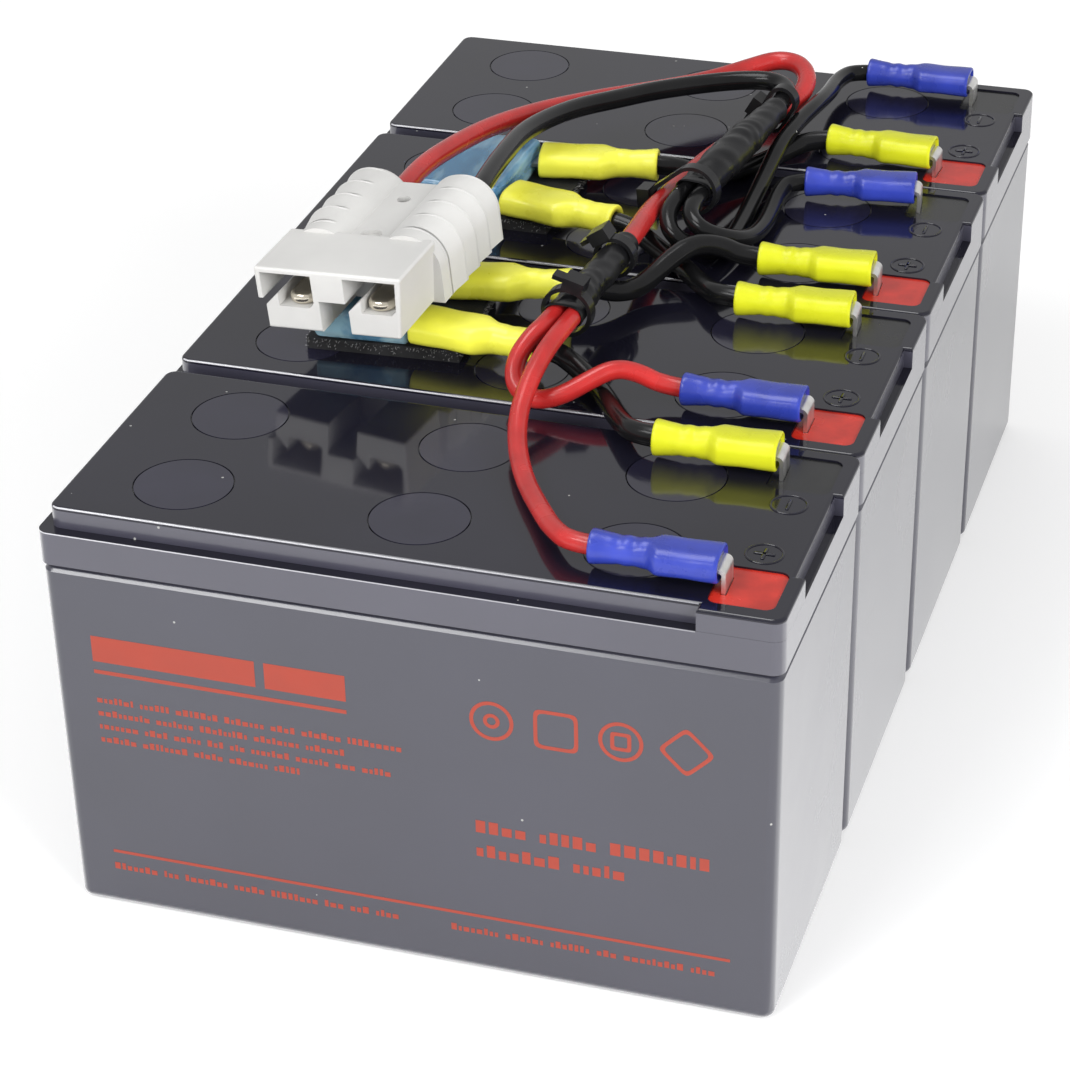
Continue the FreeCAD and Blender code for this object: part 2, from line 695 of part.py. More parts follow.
def make_connector_housing():
    left, right = connector_sides
    corners = [(left, 0), (right - connector_lean, 0), (right, connector_height), (left, connector_height)]
    outline = Part.makePolygon([vector(x, 0, z) for x, z in corners + corners[:1]])
    block = Part.Face(outline).extrude(vector(0, connector_block, 0))
    block = block.makeFillet(connector_edge_radius, block.Edges)
    start = connector_block - socket_wall
    web_end = connector_length - web_setback
    web = box(arch_places[-1], arch_places[1], start, web_end, web_bottom, web_top)
    body = block.fuse([web, make_arch(-1, start), make_arch(1, start)])
    middle = (arch_places[-1] + arch_places[1]) / 2
    dish_y = connector_block + web_dish / 2 + web_dish_gap
    notch_low = socket_spans[-1][1] + cradle_side_wall
    notch_high = socket_spans[1][0] + cradle_gap
    cuts = [
        box(notch_low, notch_high, -1, socket_depth, -connector_height, notch_height),
        box(left - 1, socket_spans[-1][0] + cradle_gap, -1, start, -1, step_height),
        Part.makeCylinder(web_hole / 2, connector_height, vector(middle, web_end - web_hole_setback, 0)),
        Part.makeCylinder(web_dish / 2, connector_height, vector(middle, dish_y, web_top - web_dish_depth)),
    ]
    bore = contact_barrel_diameter / 2 + contact_clearance
    slot_low = contact_bottom - contact_clearance
    slot_high = contact_bottom + contact_thickness + contact_clearance
    slot_half = contact_width / 2 + contact_clearance
    for side, x in pole_places.items():
        cuts.append(Part.Face(socket_outline(side)).extrude(vector(0, socket_depth + 1, 0)))
        groove_half = spring_width / 2 + spring_side_gap
        cuts.append(box(x - groove_half, x + groove_half, spring_start - spring_side_gap, socket_depth,
                        socket_floor - spring_groove, socket_floor + 1))
        cuts.append(box(x - slot_half, x + slot_half, socket_depth - 1, contact_barrel_start + 1,
                        slot_low, slot_high))
        cuts.append(Part.makeCylinder(bore, connector_length, vector(x, contact_barrel_start, pole_height),
                                      vector(0, 1, 0)))
    return body.cut(cuts).removeSplitter()


def make_contact(side):
    # A flat tongue with a rounded nose, and the barrel that the lead is crimped into
    x = pole_places[side]
    half = contact_width / 2
    tongue = box(x - half, x + half, contact_setback, contact_barrel_start + 1, contact_bottom,
                 contact_bottom + contact_thickness)
    nose = [e for e in tongue.Edges if e.BoundBox.YMax < contact_setback + 0.01 and e.BoundBox.ZLength > 1]
    tongue = tongue.makeFillet(contact_nose_radius, nose)
    rim = [e for e in tongue.Edges if e.BoundBox.YMax < contact_setback + half
           and e.BoundBox.ZMin > contact_bottom + 1 and e.BoundBox.YLength < half]
    tongue = tongue.makeFillet(contact_rim_radius, rim)
    under = [e for e in tongue.Edges if e.BoundBox.ZMax < contact_bottom + 0.01 and e.BoundBox.XLength < 0.01]
    tongue = tongue.makeFillet(contact_bottom_round, under)
    barrel = Part.makeCylinder(contact_barrel_diameter / 2, contact_barrel_end - contact_barrel_start,
                               vector(x, contact_barrel_start, pole_height), vector(0, 1, 0))
    return tongue.fuse(barrel).removeSplitter()


def make_spring(side):
    # A leaf under the tongue that lies on the socket's floor and bows up to the contact
    x = pole_places[side]
    start, end = spring_start, socket_depth - spring_end_gap
    low = socket_floor - spring_groove
    rise = contact_bottom - spring_thickness - low - spring_play
    middle = (start + end) / 2
    ends = [vector(x, start, low), vector(x, middle, low + rise), vector(x, end, low)]
    tops = [p + vector(0, 0, spring_thickness) for p in ends]
    face = Part.Face(Part.Wire([
        Part.Arc(*ends).toShape(), Part.LineSegment(ends[2], tops[2]).toShape(),
        Part.Arc(*reversed(tops)).toShape(), Part.LineSegment(tops[0], ends[0]).toShape(),
    ]))
    return placed(face.extrude(vector(spring_width, 0, 0)), -spring_width / 2, 0, 0)


def lead_end(side):
    # The crimp inside the barrel, and the point where the lead starts to bend
    places = (contact_barrel_end, connector_length + lead_straight)
    return [connector_placement().multVec(vector(pole_places[side], y, pole_height)) for y in places]


# Wires

def route_points(start, route, end):
    return start + [vector(x, y, lid_top + height) for x, y, height in route] + end[::-1]


def make_wire(name, start, route, end, diameter):
    # Straight runs joined by tangent arcs, each as large as its two runs allow
    points = route_points(start, route, end)
    edges, radii = [], []
    here = points[0]
    for before, corner, after in zip(points, points[1:], points[2:]):
        run_in, run_out = before - corner, after - corner
        shorter = min(run_in.Length, run_out.Length)
        turn = math.pi - run_in.getAngle(run_out)
        tangent = bend_share * shorter
        radius = tangent / math.tan(turn / 2)
        run_in.normalize()
        run_out.normalize()
        begin, finish = corner + run_in * tangent, corner + run_out * tangent
        inward = run_in + run_out
        inward.normalize()
        middle = corner + inward * (radius / math.cos(turn / 2) - radius)
        edges += [Part.LineSegment(here, begin).toShape(), Part.Arc(begin, middle, finish).toShape()]
        radii.append(radius)
        here = finish
    edges.append(Part.LineSegment(here, points[-1]).toShape())
    path = Part.Wire(edges)
    length = path.Length
    circle = Part.Wire(Part.Circle(points[0], points[1] - points[0], diameter / 2).toShape())
    tube = path.makePipeShell([circle], True, True)
    share = tube.Volume / (math.pi * diameter ** 2 / 4 * length)
    print(name, "length %.0f" % length, "smallest radius %.1f" % min(radii), "volume share %.4f" % share)
    return tube


# Splices under their shrink sleeves

def splice_line(splice):
    rear, front = (vector(x, y, lid_top + height) for x, y, height in splice)
    return rear, front, (front - rear).normalize()


def along(shape, start, direction):
    copy = shape.copy()
    copy.Placement = FreeCAD.Placement(start, FreeCAD.Rotation(up, direction))
    return copy


def make_splice_sleeve(splice, radii):
    rear, front, direction = splice_line(splice)
    length = (front - rear).Length
    step = length / (len(radii) - 1)
    profile = [vector(radius, 0, i * step) for i, radius in enumerate(radii)]
    profile = [vector(0, 0, 0)] + profile + [vector(0, 0, length)]
    sleeve = Part.Face(Part.makePolygon(profile + profile[:1])).revolve(vector(0, 0, 0), up, 360)
    inset = splice_inset
    bores = [
        Part.makeCylinder(splice_barrel_radius + splice_clearance, length - 2 * inset, vector(0, 0, inset)),
        Part.makeCylinder(lead_diameter / 2 + wire_clearance, inset + 1, vector(0, 0, -1)),
        Part.makeCylinder(branch_diameter + wire_clearance, inset + 1, vector(0, 0, length - inset)),
    ]
    return along(sleeve.cut(bores), rear, direction)


def make_splice_barrel(splice):
    rear, front, direction = splice_line(splice)
    length = (front - rear).Length - 2 * splice_inset
    barrel = Part.makeCylinder(splice_barrel_radius, length, vector(0, 0, splice_inset))
    return along(barrel, rear, direction)


def splice_rear(splice):
    rear, front, direction = splice_line(splice)
    return [rear + direction * splice_inset, rear - direction * wire_straight]


def splice_front(splice, side):
    # The branches leave side by side
    rear, front, direction = splice_line(splice)
    across = up.cross(direction).normalize() * (side * (branch_diameter / 2 + wire_clearance / 3))
    return [front + across - direction * splice_inset, front + across + direction * wire_straight]


# Cable ties: a strap about one or two rounds in the XZ plane, with its head and cut tail

def strap_outline(first, second, extra):
    # Arcs about both rounds joined by their outer tangents, or one circle where both are the same
    start = vector(first[0], -tie_width / 2, first[1])
    end = vector(second[0], -tie_width / 2, second[1])
    near, far = first[2] + extra, second[2] + extra
    if first == second:
        return Part.Wire(Part.Circle(start, vector(0, 1, 0), near).toShape())
    run = (end - start).Length
    ahead = (end - start).normalize()
    aside = ahead.cross(vector(0, 1, 0))
    lean = (near - far) / run
    spread = math.sqrt(1 - lean ** 2)
    over, under = ahead * lean + aside * spread, ahead * lean - aside * spread
    return Part.Wire([
        Part.LineSegment(start + over * near, end + over * far).toShape(),
        Part.Arc(end + over * far, end + ahead * far, end + under * far).toShape(),
        Part.LineSegment(end + under * far, start + under * near).toShape(),
        Part.Arc(start + under * near, start - ahead * near, start + over * near).toShape(),
    ])


def make_tie(y, first, second, turn, head_turn):
    middle = ((first[0] + second[0]) / 2, (first[1] + second[1]) / 2)
    first = (first[0] - middle[0], first[1] - middle[1], first[2])
    second = (second[0] - middle[0], second[1] - middle[1], second[2])
    across = vector(0, tie_width, 0)
    strap = Part.Face(strap_outline(first, second, tie_thickness)).extrude(across)
    strap = strap.cut(Part.Face(strap_outline(first, second, 0)).extrude(across))
    radius, half = first[2], tie_head / 2
    head = box(-half, half, -half, half, radius + tie_thickness / 2, radius + tie_head_height)
    tail_low = radius + tie_head_height / 2
    tail = box(-half - tie_tail, -half / 2, -tie_width / 2, tie_width / 2,
               tail_low, tail_low + tie_tail_thickness)
    top = head.fuse(tail)
    top.rotate(vector(0, 0, 0), vector(0, 1, 0), head_turn)
    top.translate(vector(first[0], 0, first[1]))
    return placed(strap.fuse(top).removeSplitter(), middle[0], y, lid_top + middle[1], turn)


# Turn of each battery's two terminals about the upright, front side (-1) positive, rear side (1) negative
tab_turns = {1: {-1: 1.0, 1: 2.0}, 2: {-1: 0.5, 1: 3.0}, 3: {-1: 3.0, 1: 7.0}, 4: {-1: -3.0, 1: 0.0}}
blue_sides = {1: -1, 2: -1, 3: 1, 4: 1}

nodes = {}

# Batteries
case = make_case()
plates = make_plates()
tab = make_tab()
covers = make_vent_covers()
valves = make_valves()
valve_plugs = []
seals = {-1: [], 1: []}
for battery in range(1, battery_count + 1):
    y = battery_y(battery)
    turns = tab_turns[battery]
    nodes["battery_%d_case" % battery] = placed(case, 0, y, 0)
    nodes["battery_%d_lid" % battery] = placed(make_lid(turns), 0, y, 0)
    nodes["battery_%d_plates" % battery] = placed(plates, 0, y, 0)
    nodes["battery_%d_vent_covers" % battery] = Part.makeCompound([placed(c, 0, y, 0) for c in covers])
    nodes["battery_%d_tabs" % battery] = Part.makeCompound(
        [placed(tab, tab_x, y + side * tab_offset, 0, turn) for side, turn in turns.items()])
    valve_plugs += [placed(v, 0, y, 0) for v in valves]
    for side, turn in turns.items():
        seals[side].append(placed(make_seal(side, turn), 0, y, 0))
nodes["valve_plugs"] = Part.makeCompound(valve_plugs)
nodes["positive_seals"] = Part.makeCompound(seals[-1])
nodes["negative_seals"] = Part.makeCompound(seals[1])
nodes["joining_tapes"] = Part.makeCompound(
    [placed(make_tape(), 0, battery_y(n) + battery_pitch / 2, 0) for n in range(1, battery_count)])

# Terminals on the battery tabs
blue_seats = {}
yellow_seats = {}
for battery, turns in tab_turns.items():
    blue = blue_sides[battery]
    blue_seats[battery] = tab_seat(blue_terminal, battery, blue, turns[blue])
    yellow_seats[battery] = tab_seat(yellow_terminal, battery, -blue, turns[-blue])
    nodes["blue_sleeve_%d" % battery] = blue_seats[battery].sleeve()
    nodes["yellow_sleeve_%d" % battery] = yellow_seats[battery].sleeve()
nodes["battery_receptacles"] = Part.makeCompound(
    [seat.receptacle() for seat in list(blue_seats.values()) + list(yellow_seats.values())])

# Fuses with their pads and terminals
fuse_seats = {}
pads = []
fuse_receptacles = []
for fuse, (x, y, turn, splay) in fuse_places.items():
    pads.append(placed(make_pad(), x, y, lid_top, turn))
    nodes[fuse + "_fuse_body"] = placed(make_fuse_body(), x, y, fuse_bottom, turn)
    nodes[fuse + "_fuse_element"] = placed(make_fuse_element(splay), x, y, fuse_bottom, turn)
    pair = {side: fuse_seat(fuse, side) for side in (-1, 1)}
    fuse_seats[fuse] = pair
    nodes[fuse + "_fuse_sleeves"] = Part.makeCompound([seat.sleeve() for seat in pair.values()])
    fuse_receptacles += [seat.receptacle() for seat in pair.values()]
nodes["fuse_pads"] = Part.makeCompound(pads)
nodes["fuse_receptacles"] = Part.makeCompound(fuse_receptacles)

# Connector
nodes["connector_housing"] = on_connector(make_connector_housing())
nodes["connector_contacts"] = Part.makeCompound([on_connector(make_contact(side)) for side in (-1, 1)])
nodes["connector_springs"] = Part.makeCompound([on_connector(make_spring(side)) for side in (-1, 1)])

# Splices and wires
nodes["rear_splice_sleeve"] = make_splice_sleeve(rear_splice, rear_splice_radii)
nodes["mid_splice_sleeve"] = make_splice_sleeve(mid_splice, mid_splice_radii)
nodes["splice_barrels"] = Part.makeCompound([make_splice_barrel(rear_splice), make_splice_barrel(mid_splice)])
front_fuse, rear_fuse = fuse_seats["front"], fuse_seats["rear"]
wires = {
    "red_lead": (lead_end(-1), red_lead_route, splice_rear(mid_splice), lead_diameter),
    "black_lead": (lead_end(1), black_lead_route, splice_rear(rear_splice), lead_diameter),
    "red_branch_1": (splice_front(mid_splice, 1), red_branch_1_route, blue_seats[1].wire_end,
                     branch_diameter),
    "red_branch_2": (splice_front(mid_splice, -1), red_branch_2_route, blue_seats[2].wire_end,
                     branch_diameter),
    "black_branch_3": (splice_front(rear_splice, 1), black_branch_3_route, blue_seats[3].wire_end,
                       branch_diameter),
    "black_branch_4": (splice_front(rear_splice, -1), black_branch_4_route, blue_seats[4].wire_end,
                       branch_diameter),
    "jumper_1": (front_fuse[-1].wire_end, jumper_1_route, yellow_seats[1].wire_end, jumper_diameter),
    "jumper_2": (front_fuse[1].wire_end, jumper_2_route, yellow_seats[3].wire_end, jumper_diameter),
    "jumper_3": (rear_fuse[-1].wire_end, jumper_3_route, yellow_seats[2].wire_end, jumper_diameter),
    "jumper_4": (rear_fuse[1].wire_end, jumper_4_route, yellow_seats[4].wire_end, jumper_diameter),
}
for name, (start, route, end, diameter) in wires.items():
    nodes[name] = make_wire(name, start, route, end, diameter)

nodes["cable_ties"] = Part.makeCompound([make_tie(*tie) for tie in ties])

os.makedirs("parts", exist_ok=True)
for name, shape in nodes.items():
    shape.exportStep("parts/%s.step" % name)
print(len(nodes), "nodes")
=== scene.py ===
import bpy, math
import numpy as np
from mathutils import Matrix, Vector


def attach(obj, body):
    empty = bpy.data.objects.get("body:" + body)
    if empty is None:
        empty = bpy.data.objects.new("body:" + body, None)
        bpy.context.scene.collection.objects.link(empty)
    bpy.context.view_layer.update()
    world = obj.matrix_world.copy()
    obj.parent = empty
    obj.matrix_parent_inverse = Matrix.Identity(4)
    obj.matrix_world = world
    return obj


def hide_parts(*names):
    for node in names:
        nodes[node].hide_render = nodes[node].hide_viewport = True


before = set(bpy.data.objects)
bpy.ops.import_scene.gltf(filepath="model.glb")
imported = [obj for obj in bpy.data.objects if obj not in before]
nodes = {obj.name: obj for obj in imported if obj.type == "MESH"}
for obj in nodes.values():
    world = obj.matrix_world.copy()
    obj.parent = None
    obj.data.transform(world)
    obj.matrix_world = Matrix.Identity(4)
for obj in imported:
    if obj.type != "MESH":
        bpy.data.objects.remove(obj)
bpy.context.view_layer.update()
scene = bpy.context.scene
mm = 0.001
print("frame:", len(nodes), "nodes")


# camera, floor and light
photoCamera = {"azimuth": 18.289, "elevation": 30.484, "roll": -1.260,
               "place": (0.18799, -0.61470, 0.40541), "lens": 107.7, "sensor": 36.0, "clip": (0.01, 50.0)}


def setCamera(look):
    turn, rise, roll = (math.radians(look[k]) for k in ("azimuth", "elevation", "roll"))
    back = Vector((math.sin(turn) * math.cos(rise), -math.cos(turn) * math.cos(rise), math.sin(rise)))
    level = (-back).cross(Vector((0, 0, 1))).normalized()
    upright = level.cross(-back)
    right = math.cos(roll) * level + math.sin(roll) * upright
    top = -math.sin(roll) * level + math.cos(roll) * upright
    data = bpy.data.cameras.new("photoCamera")
    data.lens, data.sensor_width = look["lens"], look["sensor"]
    data.clip_start, data.clip_end = look["clip"]
    cam = bpy.data.objects.new("photoCamera", data)
    axes = Matrix((right, top, back)).transposed().to_4x4()
    cam.matrix_world = Matrix.Translation(look["place"]) @ axes
    scene.collection.objects.link(cam)
    scene.camera = cam


# ambient: the room as a light, mirrored: the room in reflections; a lamp that isn't mirrored shows in no
# reflection, and one that doesn't light shows in reflections alone; metres and watts
studio = {
    "ambient": 0.6,
    "mirrored": 0.62,
    "lamps": {
        "topBox": {"place": (-0.62, -0.82, 1.17), "aim": (0, -0.05, 0.08), "size": (0.8, 0.3), "watts": 6.0},
        "rightBox": {"place": (0.95, -0.6, 0.5), "aim": (0.15, -0.1, 0.03), "size": (0.7, 0.7), "watts": 12.1,
                     "mirrored": False},
        "frontFill": {"place": (-0.55, -1.35, 0.5), "aim": (0, -0.1, 0.05), "size": (0.8, 0.8),
                      "watts": 11.0, "mirrored": False},
        "ceilingBox": {"place": (-0.3, 0.05, 1.3), "aim": (-0.05, 0, 0.1), "size": (0.8, 0.5),
                       "watts": 6.5, "lights": False},
    },
    "floor": {"half": 4.0, "low": -0.0003, "tone": 0.9, "rough": 0.9, "gloss": 0.1},
    "floorGlow": {"span": (0.5, 2.0), "levels": (0.2, 0.6)},
    "mirrorGlow": {"span": (-0.13, 0.2), "levels": (0.64, 0.0)},
}


def feed(tree, value, socket):
    # a number is set on the socket, an output is linked to it
    if isinstance(value, (int, float)):
        socket.default_value = value
    else:
        tree.links.new(value, socket)


def mathNode(tree, kind, *values, clamp=False):
    node = tree.nodes.new("ShaderNodeMath")
    node.operation, node.use_clamp = kind, clamp
    for socket, value in zip(node.inputs, values):
        feed(tree, value, socket)
    return node.outputs[0]


def faded(tree, value, span, levels):
    # the first level up to the span's start, the second from its end on, even in between
    node = tree.nodes.new("ShaderNodeMapRange")
    for label, number in zip(("From Min", "From Max", "To Min", "To Max"), (*span, *levels)):
        node.inputs[label].default_value = number
    tree.links.new(value, node.inputs["Value"])
    return node.outputs[0]


def axesOf(tree, coords):
    split = tree.nodes.new("ShaderNodeSeparateXYZ")
    tree.links.new(coords, split.inputs[0])
    return split.outputs


def rayLevel(tree, plain, levels):
    # the plain level for the rays that light the object, and a level of its own for each ray named
    path = tree.nodes.new("ShaderNodeLightPath")
    total = plain
    for ray, level in levels.items():
        total = mathNode(tree, "MULTIPLY_ADD", path.outputs[ray], level - plain, total)
    return total


def setWorld(look):
    world = bpy.data.worlds.new("paleRoom")
    world.use_nodes = True
    tree = world.node_tree
    room = tree.nodes["Background"]
    room.inputs["Color"].default_value = (1, 1, 1, 1)
    levels = {"Is Camera Ray": 1.0, "Is Transmission Ray": 1.0, "Is Glossy Ray": look["mirrored"]}
    tree.links.new(rayLevel(tree, look["ambient"], levels), room.inputs["Strength"])
    scene.world = world


def setLamps(look):
    for name, lamp in look["lamps"].items():
        data = bpy.data.lights.new(name, "AREA")
        data.shape, data.energy = "RECTANGLE", lamp["watts"]
        data.size, data.size_y = lamp["size"]
        obj = bpy.data.objects.new(name, data)
        obj.location = lamp["place"]
        obj.visible_glossy = lamp.get("mirrored", True)
        obj.visible_diffuse = lamp.get("lights", True)
        aim = Vector(lamp["aim"]) - Vector(lamp["place"])
        obj.rotation_euler = aim.to_track_quat("-Z", "Y").to_euler()
        scene.collection.objects.link(obj)


def setFloor(look):
    # it glows by distance for the camera, and for reflections beside the row, less towards the rear
    plain = look["floor"]
    half, low, tone = plain["half"], plain["low"], plain["tone"]
    floorMesh = bpy.data.meshes.new("floor")
    corners = [(-half, -half, low), (half, -half, low), (half, half, low), (-half, half, low)]
    floorMesh.from_pydata(corners, [], [(0, 1, 2, 3)])
    floor = bpy.data.objects.new("floor", floorMesh)
    scene.collection.objects.link(floor)
    mat = bpy.data.materials.new("paleFloor")
    mat.use_nodes = True
    tree = mat.node_tree
    bsdf = tree.nodes["Principled BSDF"]
    bsdf.inputs["Base Color"].default_value = (tone, tone, tone, 1)
    bsdf.inputs["Roughness"].default_value = plain["rough"]
    bsdf.inputs["Specular IOR Level"].default_value = plain["gloss"]
    bsdf.inputs["Emission Color"].default_value = (1, 1, 1, 1)
    coords = tree.nodes.new("ShaderNodeTexCoord").outputs["Object"]
    away = tree.nodes.new("ShaderNodeVectorMath")
    away.operation = "LENGTH"
    tree.links.new(coords, away.inputs[0])
    y = axesOf(tree, coords)[1]
    seen = rayLevel(tree, 0.0, {"Is Camera Ray": 1.0, "Is Transmission Ray": 1.0})
    glow = mathNode(tree, "MULTIPLY", seen, faded(tree, away.outputs["Value"], **look["floorGlow"]))
    behind = mathNode(tree, "GREATER_THAN", y, look["mirrorGlow"]["span"][0])
    mirrored = mathNode(tree, "MULTIPLY", rayLevel(tree, 0.0, {"Is Glossy Ray": 1.0}), behind)
    glow = mathNode(tree, "MULTIPLY_ADD", mirrored, faded(tree, y, **look["mirrorGlow"]), glow)
    tree.links.new(glow, bsdf.inputs["Emission Strength"])
    floorMesh.materials.append(mat)


scene.view_settings.view_transform = "Standard"
setCamera(photoCamera)
setWorld(studio)
setLamps(studio)
setFloor(studio)
print("camera and studio set")


# shader groups that many finishes share
def newGroup(name, inputs, outputs):
    # a vector comes in with the numbers named, and numbers go out
    group = bpy.data.node_groups.new(name, "ShaderNodeTree")
    group.interface.new_socket("Vector", in_out="INPUT", socket_type="NodeSocketVector")
    for label in inputs:
        group.interface.new_socket(label, in_out="INPUT", socket_type="NodeSocketFloat")
    for label in outputs:
        group.interface.new_socket(label, in_out="OUTPUT", socket_type="NodeSocketFloat")
    return group, group.nodes.new("NodeGroupInput").outputs, group.nodes.new("NodeGroupOutput").inputs


def useGroup(tree, group, coords, values):
    node = tree.nodes.new("ShaderNodeGroup")
    node.node_tree = group
    for label, value in values.items():
        node.inputs[label].default_value = value
    tree.links.new(coords, node.inputs["Vector"])
    return node.outputs


def noiseNode(tree, vector, scale, detail, rough=0.55):
    node = tree.nodes.new("ShaderNodeTexNoise")
    node.inputs["Detail"].default_value = detail
    node.inputs["Roughness"].default_value = rough
    tree.links.new(vector, node.inputs["Vector"])
    feed(tree, scale, node.inputs["Scale"])
    return node.outputs[0]


def makeMouldGroup():
    # broad cloud for tone, fine noise for grain, both 0 to 1
    group, given, result = newGroup("mouldedSkin", ["Cloud Scale", "Grain Scale"], ["Cloud", "Grain"])
    for label, detail in (("Cloud", 3.0), ("Grain", 2.0)):
        noise = noiseNode(group, given["Vector"], given[label + " Scale"], detail)
        group.links.new(noise, result[label])
    return group


# scale, size: cells to the metre and the dots in them; dust lies where a noise of the patches' scale is above
# a level
dustLook = {"scale": 380.0, "size": 0.1, "patches": 45.0, "above": 0.47, "base": (0.34, 0.34, 0.33),
            "rougher": 0.5}


def makeDustGroup(look):
    # a dot in some cells of a random lattice: where the distance to the cell's point is under its size
    group, given, result = newGroup("paleDust", ["Share"], ["Mask"])
    cells = group.nodes.new("ShaderNodeTexVoronoi")
    cells.inputs["Scale"].default_value = look["scale"]
    group.links.new(given["Vector"], cells.inputs["Vector"])
    split = group.nodes.new("ShaderNodeSeparateColor")
    group.links.new(cells.outputs["Color"], split.inputs[0])
    near = mathNode(group, "LESS_THAN", cells.outputs["Distance"], look["size"])
    kept = mathNode(group, "LESS_THAN", split.outputs[0], given["Share"])
    patches = noiseNode(group, given["Vector"], look["patches"], 1.0)
    dusty = mathNode(group, "GREATER_THAN", patches, look["above"])
    dots = mathNode(group, "MULTIPLY", near, kept)
    group.links.new(mathNode(group, "MULTIPLY", dots, dusty), result["Mask"])
    return group


mouldGroup = makeMouldGroup()
dustGroup = makeDustGroup(dustLook)

# cloudSpan, deepSpan: the part of the cloud over which a colour changes, the second towards a deep colour
skinLook = {"cloudSpan": (0.3, 0.7), "deepSpan": (0.4, 0.6), "coatRough": 0.15, "coatIor": 1.6,
            "clearIor": 1.49}
